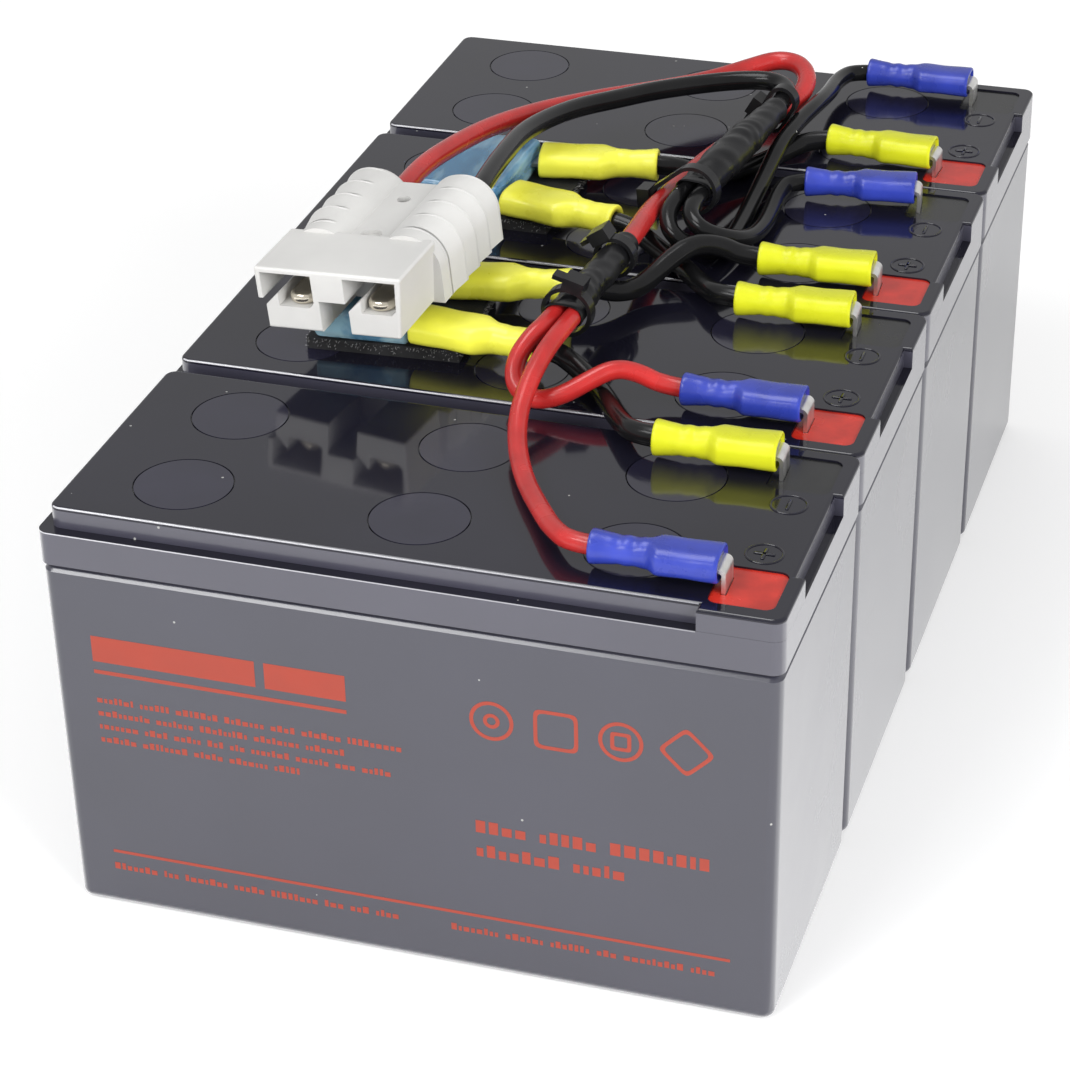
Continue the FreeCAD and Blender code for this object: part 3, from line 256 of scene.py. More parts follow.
# tone: how far the colour wanders, deep: the darker colour it wanders to, rough: from and to, cloud and
# grainScale: cells to the metre, grain: bump height in mm, stretch: scale along X Y Z, dust: share of the
# cells with a dot, metal, gloss: specular level, coat: clear skin that whitens at a low angle, through:
# transmission; sides: the look below a lid's top face, with the band at its foot painted dark as the shade
# of the gap to the case, rubbed: pale lines painted along its front edges as highlights, brighter to the
# left; ribs: crest lines on the connector's grip ribs; heights and places in mm
finishes = {
    "lidBlack": {"base": (0.0092, 0.0088, 0.0165), "tone": 0.25, "rough": (0.05, 0.10), "cloud": 16.0,
                 "grain": 0.003, "grainScale": 260.0, "dust": 0.07, "gloss": 0.55,
                 "sides": {"base": (0.047, 0.0455, 0.066), "tone": 0.1, "rougher": 0.3, "top": 93.2,
                           "ledge": 89.3, "ledgeHalf": 0.03, "joint": 81.95,
                           "paintedJointShade": (0.003, 0.003, 0.004)},
                 # pale lines painted along the front edges as highlights, brighter to the left
                 "paintedHighlight": {"base": (0.5, 0.5, 0.53), "heights": (93.74, 89.14), "half": 0.13, "end": 58.6,
                            "fade": (0.66, -4.5), "front": -130.15, "pitch": 65.1, "deep": 3.2}},
    "caseBlack": {"base": (0.029, 0.029, 0.045), "tone": 0.1, "rough": (0.36, 0.46), "cloud": 22.0,
                  "grain": 0.006, "grainScale": 1500.0, "dust": 0.015, "coat": 1.0},
    "ventBlack": {"base": (0.016, 0.015, 0.030), "tone": 0.2, "rough": (0.08, 0.16), "cloud": 40.0,
                  "grain": 0.004, "grainScale": 420.0, "dust": 0.07, "gloss": 0.58},
    "plateLead": {"base": (0.16, 0.16, 0.17), "tone": 0.3, "rough": (0.5, 0.7), "cloud": 60.0,
                  "grain": 0.03, "grainScale": 900.0},
    "tabTin": {"base": (0.9, 0.89, 0.87), "tone": 0.1, "rough": (0.34, 0.5), "cloud": 260.0,
               "grain": 0.01, "grainScale": 1800.0, "metal": 1.0, "stretch": (1, 1, 0.08)},
    "valveRubber": {"base": (0.02, 0.02, 0.02), "tone": 0.2, "rough": (0.6, 0.8), "cloud": 80.0,
                    "grain": 0.01, "grainScale": 1500.0},
    "sealRed": {"base": (0.50, 0.024, 0.013), "tone": 0.22, "rough": (0.16, 0.3), "cloud": 140.0,
                "grain": 0.02, "grainScale": 320.0, "dust": 0.05},
    "sealBlack": {"base": (0.012, 0.012, 0.013), "tone": 0.2, "rough": (0.15, 0.3), "cloud": 140.0,
                  "grain": 0.02, "grainScale": 320.0, "dust": 0.05},
    "tapeBlack": {"base": (0.03, 0.03, 0.03), "tone": 0.2, "rough": (0.7, 0.9), "cloud": 60.0,
                  "grain": 0.05, "grainScale": 1200.0},
    "sleeveBlue": {"base": (0.026, 0.044, 0.335), "tone": 0.16, "rough": (0.24, 0.34), "cloud": 130.0,
                   "grain": 0.012, "grainScale": 900.0, "dust": 0.02},
    "sleeveYellow": {"base": (0.58, 0.6, 0.016), "tone": 0.08, "rough": (0.24, 0.34), "cloud": 120.0,
                     "grain": 0.012, "grainScale": 900.0, "gloss": 0.3},
    # paler than the terminal sleeves' yellow: partly these sleeves' own paler, translucent yellow, partly
    # painted light that lifts them where they sit in shade
    "fuseYellowLightened": {"base": (0.9, 0.885, 0.075), "tone": 0.08, "rough": (0.24, 0.34), "cloud": 120.0,
                   "grain": 0.012, "grainScale": 900.0},
    "crimpTin": {"base": (0.74, 0.73, 0.7), "tone": 0.15, "rough": (0.24, 0.4), "cloud": 300.0,
                 "grain": 0.01, "grainScale": 1500.0, "metal": 1.0},
    # the pale blue is the body's own; the streaks where the cloud swings to the deep blue are painted, standing
    # in for the dark and bright reflections of the clear body
    "fuseBlue": {"base": (0.50, 0.78, 0.90), "deep": (0.14, 0.38, 0.6), "tone": 0.08, "rough": (0.04, 0.1),
                 "cloud": 170.0, "grain": 0.01, "grainScale": 300.0, "through": 0.6, "stretch": (1, 0.3, 1)},
    "fuseZinc": {"base": (0.62, 0.63, 0.65), "tone": 0.12, "rough": (0.3, 0.45), "cloud": 200.0,
                 "grain": 0.01, "grainScale": 1500.0, "metal": 1.0},
    "padFabric": {"base": (0.018, 0.018, 0.019), "tone": 0.4, "rough": (0.75, 0.95), "cloud": 300.0,
                  "grain": 0.15, "grainScale": 1500.0, "dust": 0.1},
    "fuzzPale": {"base": (0.3, 0.3, 0.3), "tone": 0.7, "rough": (0.5, 0.7), "cloud": 900.0,
                 "grain": 0.005, "grainScale": 2500.0},
    "connectorGrey": {"base": (0.585, 0.58, 0.565), "tone": 0.05, "rough": (0.42, 0.54), "cloud": 60.0,
                      "grain": 0.012, "grainScale": 1300.0,
                      "ribs": {"place": (-38.0, -63.0, 105.0), "turn": (-4.4, 2.6, -4.2), "first": 27.6,
                               "pitch": 6.4, "middle": 1.2, "flank": (7.5, 10.5), "behind": 20.0,
                               "half": 0.6, "tall": 0.6}},
    "contactSilver": {"base": (0.80, 0.74, 0.62), "tone": 0.1, "rough": (0.14, 0.26), "cloud": 240.0,
                      "grain": 0.008, "grainScale": 900.0, "metal": 1.0},
    "springSteel": {"base": (0.6, 0.58, 0.54), "tone": 0.15, "rough": (0.22, 0.36), "cloud": 240.0,
                    "grain": 0.008, "grainScale": 900.0, "metal": 1.0},
    "wireRed": {"base": (0.44, 0.021, 0.020), "tone": 0.16, "rough": (0.2, 0.3), "cloud": 110.0,
                "grain": 0.01, "grainScale": 700.0, "dust": 0.03},
    "wireBlack": {"base": (0.006, 0.006, 0.0065), "tone": 0.25, "rough": (0.15, 0.25), "cloud": 110.0,
                  "grain": 0.01, "grainScale": 700.0, "dust": 0.05, "gloss": 0.28},
    "shrinkBlack": {"base": (0.008, 0.008, 0.009), "tone": 0.3, "rough": (0.24, 0.38), "cloud": 160.0,
                    "grain": 0.03, "grainScale": 420.0, "dust": 0.04, "gloss": 0.25},
    "tieBlack": {"base": (0.010, 0.010, 0.011), "tone": 0.2, "rough": (0.18, 0.28), "cloud": 150.0,
                 "grain": 0.008, "grainScale": 800.0, "gloss": 0.3},
    "printOrange": {"base": (0.31, 0.044, 0.026), "tone": 0.04, "rough": (0.5, 0.62), "cloud": 180.0,
                    "grain": 0.004, "grainScale": 1400.0},
}


def blend(tree, mask, first, second):
    # first colour where the mask is 0, second where it is 1
    mix = tree.nodes.new("ShaderNodeMix")
    mix.data_type = "RGBA"
    tree.links.new(mask, mix.inputs[0])
    for pin, colour in ((mix.inputs[6], first), (mix.inputs[7], second)):
        if isinstance(colour, tuple):
            pin.default_value = (*colour, 1)
        else:
            tree.links.new(colour, pin)
    return mix.outputs[2]


def cloudColour(tree, cloud, base, tone, deep=None):
    ramp = tree.nodes.new("ShaderNodeValToRGB")
    dark, light = ramp.color_ramp.elements
    dark.position, light.position = skinLook["deepSpan" if deep else "cloudSpan"]
    dark.color = (*(deep or np.array(base) * (1 - tone)), 1)
    light.color = (*np.minimum(np.array(base) * (1 + tone), 1), 1)
    tree.links.new(cloud, ramp.inputs[0])
    return ramp.outputs[0]


def lidMasks(tree, coords, look):
    # 1 on a lid's upright faces and 0 on its ledge; 1 in the band at its foot, painted dark as gap shade
    height = axesOf(tree, coords)[2]
    under = mathNode(tree, "LESS_THAN", height, look["top"] * mm)
    ledge = mathNode(tree, "COMPARE", height, look["ledge"] * mm, look["ledgeHalf"] * mm)
    side = mathNode(tree, "SUBTRACT", under, ledge, clamp=True)
    joint = mathNode(tree, "LESS_THAN", height, look["joint"] * mm)
    return mathNode(tree, "SUBTRACT", side, joint, clamp=True), joint


def paintedHighlightMask(tree, coords, look):
    # up to 1 on the thin lines painted pale along each lid's front edges as highlights, less towards the
    # corner block where they end; the row is folded by the pitch of the batteries
    x, y, z = axesOf(tree, coords)
    upper, lower = (mathNode(tree, "COMPARE", z, h * mm, look["half"] * mm) for h in look["heights"])
    inRow = mathNode(tree, "SUBTRACT", y, look["front"] * mm)
    behind = mathNode(tree, "FLOORED_MODULO", inRow, look["pitch"] * mm)
    front = mathNode(tree, "LESS_THAN", behind, look["deep"] * mm)
    level, slope = look["fade"]
    fade = mathNode(tree, "MULTIPLY_ADD", x, slope, level)
    along = mathNode(tree, "MULTIPLY", fade, mathNode(tree, "LESS_THAN", x, look["end"] * mm))
    line = mathNode(tree, "MULTIPLY", mathNode(tree, "ADD", upper, lower), front)
    return mathNode(tree, "MULTIPLY", line, along)


def alongAxis(tree, coords, axis, place):
    # distance from the place along the axis, in mm
    dot = tree.nodes.new("ShaderNodeVectorMath")
    dot.operation = "DOT_PRODUCT"
    dot.inputs[1].default_value = axis / mm
    tree.links.new(coords, dot.inputs[0])
    return mathNode(tree, "SUBTRACT", dot.outputs["Value"], axis.dot(Vector(place)))


def ribHeight(tree, coords, look):
    # 1 on the crest of a grip rib: the way along the connector is folded by the pitch, and the ribs fade in
    # from the crown of each pole to its outer flank
    yaw, pitch, roll = (math.radians(a) for a in look["turn"])
    turn = Matrix.Rotation(yaw, 3, "Z") @ Matrix.Rotation(pitch, 3, "X") @ Matrix.Rotation(roll, 3, "Y")
    along = alongAxis(tree, coords, turn @ Vector((0, 1, 0)), look["place"])
    aside = alongAxis(tree, coords, turn @ Vector((1, 0, 0)), look["place"])
    away = mathNode(tree, "PINGPONG", mathNode(tree, "SUBTRACT", along, look["first"]), look["pitch"] / 2)
    crest = mathNode(tree, "MULTIPLY_ADD", away, -1 / look["half"], 1.0, clamp=True)
    out = mathNode(tree, "ABSOLUTE", mathNode(tree, "SUBTRACT", aside, look["middle"]))
    low, high = look["flank"]
    flank = mathNode(tree, "MULTIPLY_ADD", out, 1 / (high - low), -low / (high - low), clamp=True)
    behind = mathNode(tree, "GREATER_THAN", along, look["behind"])
    return mathNode(tree, "MULTIPLY", mathNode(tree, "MULTIPLY", crest, flank), behind)


def makeFinish(name, look):
    # colour swings about its base with the cloud, grain lifts the normal, dust lies over both
    mat = bpy.data.materials.new(name)
    mat.use_nodes = True
    tree = mat.node_tree
    bsdf = tree.nodes["Principled BSDF"]
    coords = tree.nodes.new("ShaderNodeTexCoord").outputs["Object"]
    if "stretch" in look:
        mapping = tree.nodes.new("ShaderNodeMapping")
        mapping.inputs["Scale"].default_value = look["stretch"]
        tree.links.new(coords, mapping.inputs["Vector"])
        coords = mapping.outputs[0]
    scales = {"Cloud Scale": look["cloud"], "Grain Scale": look["grainScale"]}
    cloud, height = useGroup(tree, mouldGroup, coords, scales)
    colour = cloudColour(tree, cloud, look["base"], look["tone"], look.get("deep"))
    rough = faded(tree, cloud, skinLook["cloudSpan"], look["rough"])
    if "sides" in look:
        sides = look["sides"]
        side, joint = lidMasks(tree, coords, sides)
        colour = blend(tree, side, colour, cloudColour(tree, cloud, sides["base"], sides["tone"]))
        # the band at the lid's foot is painted near black as the shade in the gap to the case
        colour = blend(tree, joint, colour, sides["paintedJointShade"])
        rough = mathNode(tree, "MULTIPLY_ADD", side, sides["rougher"], rough)
        tree.links.new(side, bsdf.inputs["Coat Weight"])
    # pale lines painted along the lids' front edges as highlights
    if "paintedHighlight" in look:
        colour = blend(tree, paintedHighlightMask(tree, coords, look["paintedHighlight"]), colour, look["paintedHighlight"]["base"])
    if "dust" in look:
        dust = useGroup(tree, dustGroup, coords, {"Share": look["dust"]})["Mask"]
        colour = blend(tree, dust, colour, dustLook["base"])
        rough = mathNode(tree, "MULTIPLY_ADD", dust, dustLook["rougher"], rough, clamp=True)
    if "ribs" in look:
        ribs = ribHeight(tree, coords, look["ribs"])
        height = mathNode(tree, "MULTIPLY_ADD", ribs, look["ribs"]["tall"] / look["grain"], height)
    bump = tree.nodes.new("ShaderNodeBump")
    bump.inputs["Strength"].default_value = 1.0
    bump.inputs["Distance"].default_value = look["grain"] * mm
    tree.links.new(height, bump.inputs["Height"])
    for label, value in (("Base Color", colour), ("Roughness", rough), ("Normal", bump.outputs[0])):
        tree.links.new(value, bsdf.inputs[label])
    plain = {"Metallic": look.get("metal", 0.0), "Specular IOR Level": look.get("gloss", 0.5),
             "Coat Roughness": skinLook["coatRough"], "Coat IOR": skinLook["coatIor"],
             "Coat Weight": look.get("coat", 0.0)}
    if "through" in look:
        plain.update({"Transmission Weight": look["through"], "IOR": skinLook["clearIor"]})
    for label, value in plain.items():
        bsdf.inputs[label].default_value = value
    return mat


paint = {name: makeFinish(name, look) for name, look in finishes.items()}
# by the first or last letters of a node's name
nodeFinish = {"case": "caseBlack", "lid": "lidBlack", "plates": "plateLead", "covers": "ventBlack",
              "tabs": "tabTin", "valve_plugs": "valveRubber", "positive_seals": "sealRed",
              "negative_seals": "sealBlack", "joining_tapes": "tapeBlack", "receptacles": "crimpTin",
              "fuse_body": "fuseBlue", "fuse_element": "fuseZinc", "fuse_pads": "padFabric",
              "connector_housing": "connectorGrey", "connector_contacts": "contactSilver",
              "connector_springs": "springSteel",
              "splice_sleeve": "shrinkBlack", "splice_barrels": "crimpTin", "cable_ties": "tieBlack",
              "fuse_sleeves": "fuseYellowLightened", "blue_sleeve": "sleeveBlue", "yellow_sleeve": "sleeveYellow",
              "red_": "wireRed", "black_": "wireBlack", "jumper": "wireBlack"}


def finishOf(name):
    fits = (mark for mark in nodeFinish if name.endswith(mark) or name.startswith(mark))
    return paint[nodeFinish[next(fits)]]


for name, obj in nodes.items():
    obj.data.materials.clear()
    obj.data.materials.append(finishOf(name))
print("finishes:", len(paint))


# grids into meshes
def addPiece(name, grids, finish, loops=(True, True), smooth=True):
    # each grid is rows x columns x 3; quads join neighbours, a looped direction joins its last to its first,
    # and rows that don't loop are closed by a cap at each end
    points, faces, first = [], [], 0
    for grid in grids:
        rows, columns = grid.shape[:2]
        index = np.arange(rows * columns).reshape(rows, columns)
        caps = [] if loops[0] else [index[0, ::-1].tolist(), index[-1].tolist()]
        if loops[0]:
            index = np.vstack([index, index[:1]])
        if loops[1]:
            index = np.hstack([index, index[:, :1]])
        quads = np.stack([index[:-1, :-1], index[:-1, 1:], index[1:, 1:], index[1:, :-1]], -1).reshape(-1, 4)
        flat = grid.reshape(-1, 3)
        a, b, c, d = (flat[quads[:, k]] - flat.mean(0) for k in range(4))
        volume = (np.cross(a, b) * c).sum() + (np.cross(a, c) * d).sum()
        outward = 1 if volume > 0 else -1
        faces += [[v + first for v in face[::outward]] for face in quads.tolist() + caps]
        points.append(flat)
        first += rows * columns
    mesh = bpy.data.meshes.new(name)
    mesh.from_pydata(np.concatenate(points).tolist(), [], faces)
    mesh.polygons.foreach_set("use_smooth", np.full(len(mesh.polygons), smooth))
    mesh.materials.append(paint[finish])
    mesh.validate()
    obj = bpy.data.objects.new(name, mesh)
    scene.collection.objects.link(obj)
    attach(obj, "root")
    return obj


def easeTable(at, knots, values):
    # smooth steps from each knot's value to the next one's
    knots, values = np.asarray(knots, float), np.asarray(values, float)
    k = np.clip(np.searchsorted(knots, at) - 1, 0, len(knots) - 2)
    t = np.clip((at - knots[k]) / (knots[k + 1] - knots[k]), 0, 1)
    return values[k] + (values[k + 1] - values[k]) * t * t * (3 - 2 * t)


def roundSteps(count):
    return np.linspace(0, 2 * np.pi, count, endpoint=False)


def signedPower(value, power):
    return np.sign(value) * np.abs(value) ** power


def turnedTo(points, place, yaw):
    # turn about Z, then move; points in mm, result in metres
    c, s = math.cos(math.radians(yaw)), math.sin(math.radians(yaw))
    x, y, z = points[..., 0], points[..., 1], points[..., 2]
    return np.stack([x * c - y * s + place[0], x * s + y * c + place[1], z + place[2]], -1) * mm


# wires: control points of one NURBS line each, as in the part, in mm
wireRoutes = {
    "red_lead": [
        (-42.38, -24.88, 113.20), (-41.23, -9.94, 113.88), (-41.40, 5.00, 113.40),
        (-39.40, 19.50, 112.20), (-36.80, 34.50, 110.40), (-32.40, 49.00, 108.30),
        (-26.20, 62.30, 106.20), (-18.00, 74.50, 104.40), (-8.40, 84.80, 103.20), (1.00, 94.00, 102.80),
        (8.50, 102.50, 103.40), (14.50, 108.00, 104.20), (20.50, 107.00, 104.40), (24.50, 101.00, 103.60),
        (25.00, 93.00, 102.20), (22.80, 85.00, 101.20), (19.30, 75.00, 101.50), (15.60, 63.00, 101.50),
        (12.80, 51.00, 101.90), (10.60, 39.00, 102.00), (9.20, 27.00, 102.20), (8.20, 16.00, 103.20),
        (9.20, -1.21, 104.87), (8.79, -8.99, 105.14)],
    "black_lead": [
        (-24.49, -26.32, 114.52), (-23.34, -11.38, 115.20), (-24.90, 4.00, 114.50),
        (-26.00, 18.00, 113.20), (-27.00, 32.50, 111.40), (-25.40, 46.50, 109.40),
        (-21.60, 59.00, 107.60), (-15.20, 69.20, 106.20), (-8.40, 78.40, 105.40), (0.40, 85.20, 105.20),
        (9.20, 89.30, 105.60), (17.60, 90.40, 106.10), (23.00, 86.60, 106.10), (23.53, 77.76, 106.04),
        (22.45, 70.04, 105.96)],
    "red_branch_1": [
        (9.15, -41.61, 106.26), (8.75, -49.40, 106.53), (7.90, -55.60, 105.90), (7.20, -62.00, 104.60),
        (6.80, -69.50, 102.30), (7.40, -78.00, 99.40), (10.40, -87.40, 97.10), (15.40, -97.60, 96.40),
        (21.60, -107.40, 96.70), (26.40, -115.00, 97.60), (31.80, -120.42, 98.40),
        (40.60, -120.27, 98.40)],
    "red_branch_2": [
        (5.06, -41.40, 106.26), (4.66, -49.19, 106.53), (2.60, -54.60, 105.20), (0.80, -58.80, 102.00),
        (1.60, -62.60, 98.40), (6.00, -64.80, 96.40), (12.00, -64.20, 97.80), (17.40, -60.40, 100.60),
        (21.40, -56.80, 102.00), (26.00, -55.20, 101.00), (31.80, -55.06, 98.40), (40.60, -54.98, 98.40)],
    "black_branch_3": [
        (18.58, 27.68, 105.54), (17.50, 19.95, 105.46), (18.20, 13.40, 104.40), (22.20, 10.40, 102.60),
        (27.20, 13.20, 100.20), (30.40, 19.60, 97.60), (31.40, 28.00, 96.60), (31.20, 36.50, 96.70),
        (30.80, 44.60, 97.50), (32.02, 51.17, 98.40), (40.76, 52.24, 98.40)],
    "black_branch_4": [
        (14.52, 28.25, 105.54), (13.44, 20.52, 105.46), (12.90, 13.40, 103.80), (15.40, 8.80, 101.50),
        (20.60, 9.20, 98.80), (24.60, 13.00, 96.60), (26.00, 20.50, 96.20), (26.00, 30.00, 96.30),
        (25.80, 41.00, 97.00), (26.00, 53.00, 98.80), (26.40, 65.00, 101.40), (27.80, 77.60, 101.90),
        (29.40, 88.60, 101.70), (30.00, 100.40, 100.20), (29.40, 111.40, 98.90), (31.80, 119.90, 98.40),
        (40.60, 119.90, 98.40)],
    "jumper_1": [
        (-2.74, -47.80, 100.30), (5.99, -48.87, 100.30), (10.40, -49.60, 98.00), (16.00, -53.60, 96.40),
        (21.20, -60.60, 96.40), (26.00, -68.60, 96.80), (31.82, -76.44, 98.40), (40.61, -76.13, 98.40)],
    "jumper_2": [
        (-4.17, -19.69, 100.30), (4.52, -18.31, 100.30), (9.60, -16.60, 98.70), (13.00, -12.20, 97.80),
        (15.20, -7.20, 98.60), (17.90, -1.40, 100.60), (21.80, 4.20, 102.40), (27.00, 8.00, 100.90),
        (31.84, 8.74, 98.40), (40.63, 9.20, 98.40)],
    "jumper_3": [
        (-4.20, 16.19, 100.30), (4.37, 14.21, 100.30), (8.80, 12.20, 97.90), (14.80, 8.00, 96.60),
        (20.80, 2.20, 96.60), (26.00, -4.60, 96.90), (31.84, -11.86, 98.40), (40.63, -11.40, 98.40)],
    "jumper_4": [
        (-3.51, 46.80, 100.30), (5.18, 48.18, 100.30), (10.00, 50.80, 97.40), (15.80, 55.40, 96.40),
        (21.20, 62.00, 96.40), (25.80, 69.60, 96.80), (31.84, 76.96, 98.40), (40.63, 76.50, 98.40)],
}
# length in metres, thick in mm; reverse: the cord starts at the route's last point, which is the end held
wireFacts = {
    "red_branch_1": {"length": 0.096, "thick": 4.0, "end": "fitting", "reverse": True},
    "red_branch_2": {"length": 0.068, "thick": 4.0, "end": "fitting", "reverse": True},
    "black_branch_3": {"length": 0.072, "thick": 4.0, "end": "fitting", "reverse": True},
    "black_branch_4": {"length": 0.147, "thick": 4.0, "end": "fitting", "reverse": True},
    "red_lead": {"length": 0.276, "thick": 4.6, "end": "connector", "reverse": True},
    "black_lead": {"length": 0.162, "thick": 4.6, "end": "connector", "reverse": True},
    "jumper_1": {"length": 0.057, "thick": 4.6, "end": "object", "reverse": False},
    "jumper_2": {"length": 0.060, "thick": 4.6, "end": "object", "reverse": False},
    "jumper_3": {"length": 0.056, "thick": 4.6, "end": "object", "reverse": False},
    "jumper_4": {"length": 0.057, "thick": 4.6, "end": "object", "reverse": False},
}
wireCurve = {"sides": 6, "steps": 10, "order": 3}


def addWire(name, facts):
    route = np.array(wireRoutes[name]) * mm
    if facts["reverse"]:
        route = route[::-1]
    curve = bpy.data.curves.new(name + "Line", "CURVE")
    curve.dimensions = "3D"
    curve.bevel_depth, curve.bevel_resolution = facts["thick"] / 2 * mm, wireCurve["sides"]
    curve.use_fill_caps = True
    curve.resolution_u = curve.render_resolution_u = wireCurve["steps"]
    line = curve.splines.new("NURBS")
    line.points.add(len(route) - 1)
    line.points.foreach_set("co", np.column_stack([route, np.ones(len(route))]).ravel())
    line.order_u = wireCurve["order"]  # set once the points are there
    line.use_endpoint_u = True
    curve.materials.append(finishOf(name))
    wire = bpy.data.objects.new(name + "Wire", curve)
    scene.collection.objects.link(wire)
    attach(wire, "root")
    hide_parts(name)
    return wire, tuple(route[0].tolist())


# shrink sleeves over the splices: a wandering radius with rings and folds, flat over the two branch wires
splices = {
    "rear": {"from": (23.0, 74.0, 106.0), "to": (16.0, 24.0, 105.5), "radii": (3.0, 3.6, 4.2, 4.5, 4.3, 4.4),
             "folds": 0.16, "rings": 0.10, "seed": 3},
    "mid": {"from": (9.0, -5.0, 105.0), "to": (6.9, -45.5, 106.4), "radii": (3.0, 3.5, 3.6, 3.6, 4.0, 4.4),
            "folds": 0.12, "rings": 0.09, "seed": 8},
}
# lips: rows near an end, calm: the way from an end over which folds and rings set in, lip: how far the last
# lipDeep rounds off; over, flat, power: the stretch, height and squareness over the two branch wires
shrinkSkin = {"rows": 110, "columns": 56, "lips": (0, 0.15, 0.5), "first": 1.0, "calm": 3.0, "depth": 0.8,
              "waves": 9, "wave": (0.25, 1.5), "turns": (0, 5), "phase": (0, 6.28), "rough": 3.0,
              "ringWave": 2.1, "sway": 1.3, "swayTurns": 2, "swayWave": 0.2, "patchWave": 0.23,
              "lip": 0.25, "lipDeep": 0.4, "flat": 0.6, "over": 13.0, "power": 2.6,
              "bores": (2.46, 3.0, 4.16), "inset": 4.0, "step": 0.1}


def addShrink(name, look):
    # r(s, a) = ((cos a / w)^p + (sin a / h)^p)^(-1/p): w is the table's radius, and near the front h shrinks
    # and p grows; folds and rings are sums of sines, and inner rows follow lead, barrel and branch bores
    start, end = np.array(look["from"]), np.array(look["to"])
    length = np.linalg.norm(end - start)
    ahead = (end - start) / length
    aside = np.cross(ahead, (0, 0, 1))
    aside /= np.linalg.norm(aside)
    over = np.cross(aside, ahead)
    skin, chance = shrinkSkin, np.random.default_rng(look["seed"])
    lips, first = np.array(skin["lips"]), skin["first"]
    along = np.concatenate([lips, np.linspace(first, length - first, skin["rows"]), length - lips[::-1]])
    angle = roundSteps(skin["columns"])
    s, a = np.meshgrid(along, angle, indexing="ij")
    wide = easeTable(s, np.linspace(0, length, len(look["radii"])), look["radii"])
    bumps = np.zeros_like(s)
    for k in range(skin["waves"]):
        wave, turns = chance.uniform(*skin["wave"]), chance.integers(*skin["turns"])
        bumps += np.sin(s * wave + a * turns + chance.uniform(*skin["phase"])) / skin["waves"]
    sway = skin["sway"] * np.sin(a * skin["swayTurns"] + s * skin["swayWave"])
    rings = np.sin(s * skin["ringWave"] + sway) * np.clip(np.sin(s * skin["patchWave"] + look["seed"]), 0, 1)
    toEnd = np.minimum(s, length - s)
    calm = np.clip(toEnd / skin["calm"], 0, 1)
    waves = look["folds"] * (1 + bumps * skin["rough"]) + look["rings"] * (1 + rings)
    wide = wide - calm * waves * skin["depth"]
    wide = wide - skin["lip"] * np.clip(1 - toEnd / skin["lipDeep"], 0, 1)
    lead, barrel, branches = skin["bores"]
    inset, step = skin["inset"], skin["step"]
    innerAt = np.array([length, length - inset + step, length - inset, inset, inset - step, 0.0])
    inner = np.array([branches, branches, barrel, barrel, lead, lead])
    si, ai = np.meshgrid(innerAt, angle, indexing="ij")
    s, a = np.vstack([s, si]), np.vstack([a, ai])
    wide = np.vstack([wide, np.repeat(inner[:, None], len(angle), 1)])
    drawn = easeTable(s, [0, length - skin["over"], length - inset, length], [0, 0, 1, 1])
    drawn[len(along) + 2:] = 0  # the bores behind the branches stay round
    high = wide * (1 - drawn * (1 - skin["flat"]))
    power = 2 + drawn * (skin["power"] - 2)
    radius = ((np.abs(np.cos(a)) / wide) ** power + (np.abs(np.sin(a)) / high) ** power) ** (-1 / power)
    ring = np.cos(a)[..., None] * aside + np.sin(a)[..., None] * over
    grid = (start + s[..., None] * ahead + radius[..., None] * ring) * mm
    piece = addPiece(name + "ShrinkSleeve", [grid], "shrinkBlack")
    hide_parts(name + "_splice_sleeve")
    return piece


shrinks = {name: addShrink(name, look) for name, look in splices.items()}
for name, facts in wireFacts.items():
    wire, start = addWire(name, facts)
print("wires:", len(wireFacts))

# terminal sleeves: a superellipse carried along the terminal, flat over the blade and round over the wire
sleeveShapes = {
    "blue": {"length": 25.4, "housing": 12.2, "neck": 2.2, "wide": 9.55, "high": 6.1, "round": 6.1,
             "bore": 4.3, "dents": (16.6, 19.6), "dent": 0.12, "finish": "sleeveBlue"},
    "yellow": {"length": 25.4, "housing": 12.2, "neck": 2.2, "wide": 9.55, "high": 6.7, "round": 6.7,
               "bore": 4.9, "dents": (17.0, 19.8), "dent": 0.1, "finish": "sleeveYellow"},
    "fuse": {"length": 27.6, "housing": 14.35, "neck": 4.5, "wide": 11.4, "high": 6.7, "round": 6.7,
             "bore": 4.9, "dents": (21.4,), "dent": 0.06, "finish": "fuseYellowLightened"},
}
# lips: rows near an end, lip: how far the last lipDeep rounds off, shoulder and step: where the housing and the
# bore begin to change, waist: how far the housing is drawn in, at a share of its length
sleeveSkin = {"rows": 70, "columns": 48, "lips": (0, 0.12, 0.35), "first": 0.8, "lip": 0.28, "lipDeep": 0.35,
              "wall": 0.75, "flare": 0.8, "mouth": 4.0, "power": 2.8, "borePower": 3.2, "shoulder": 0.6,
              "step": 0.5, "dentWide": 1.1, "waist": 0.05, "waistAt": 0.55, "waistWide": 3.0, "waistSide": 0.4}
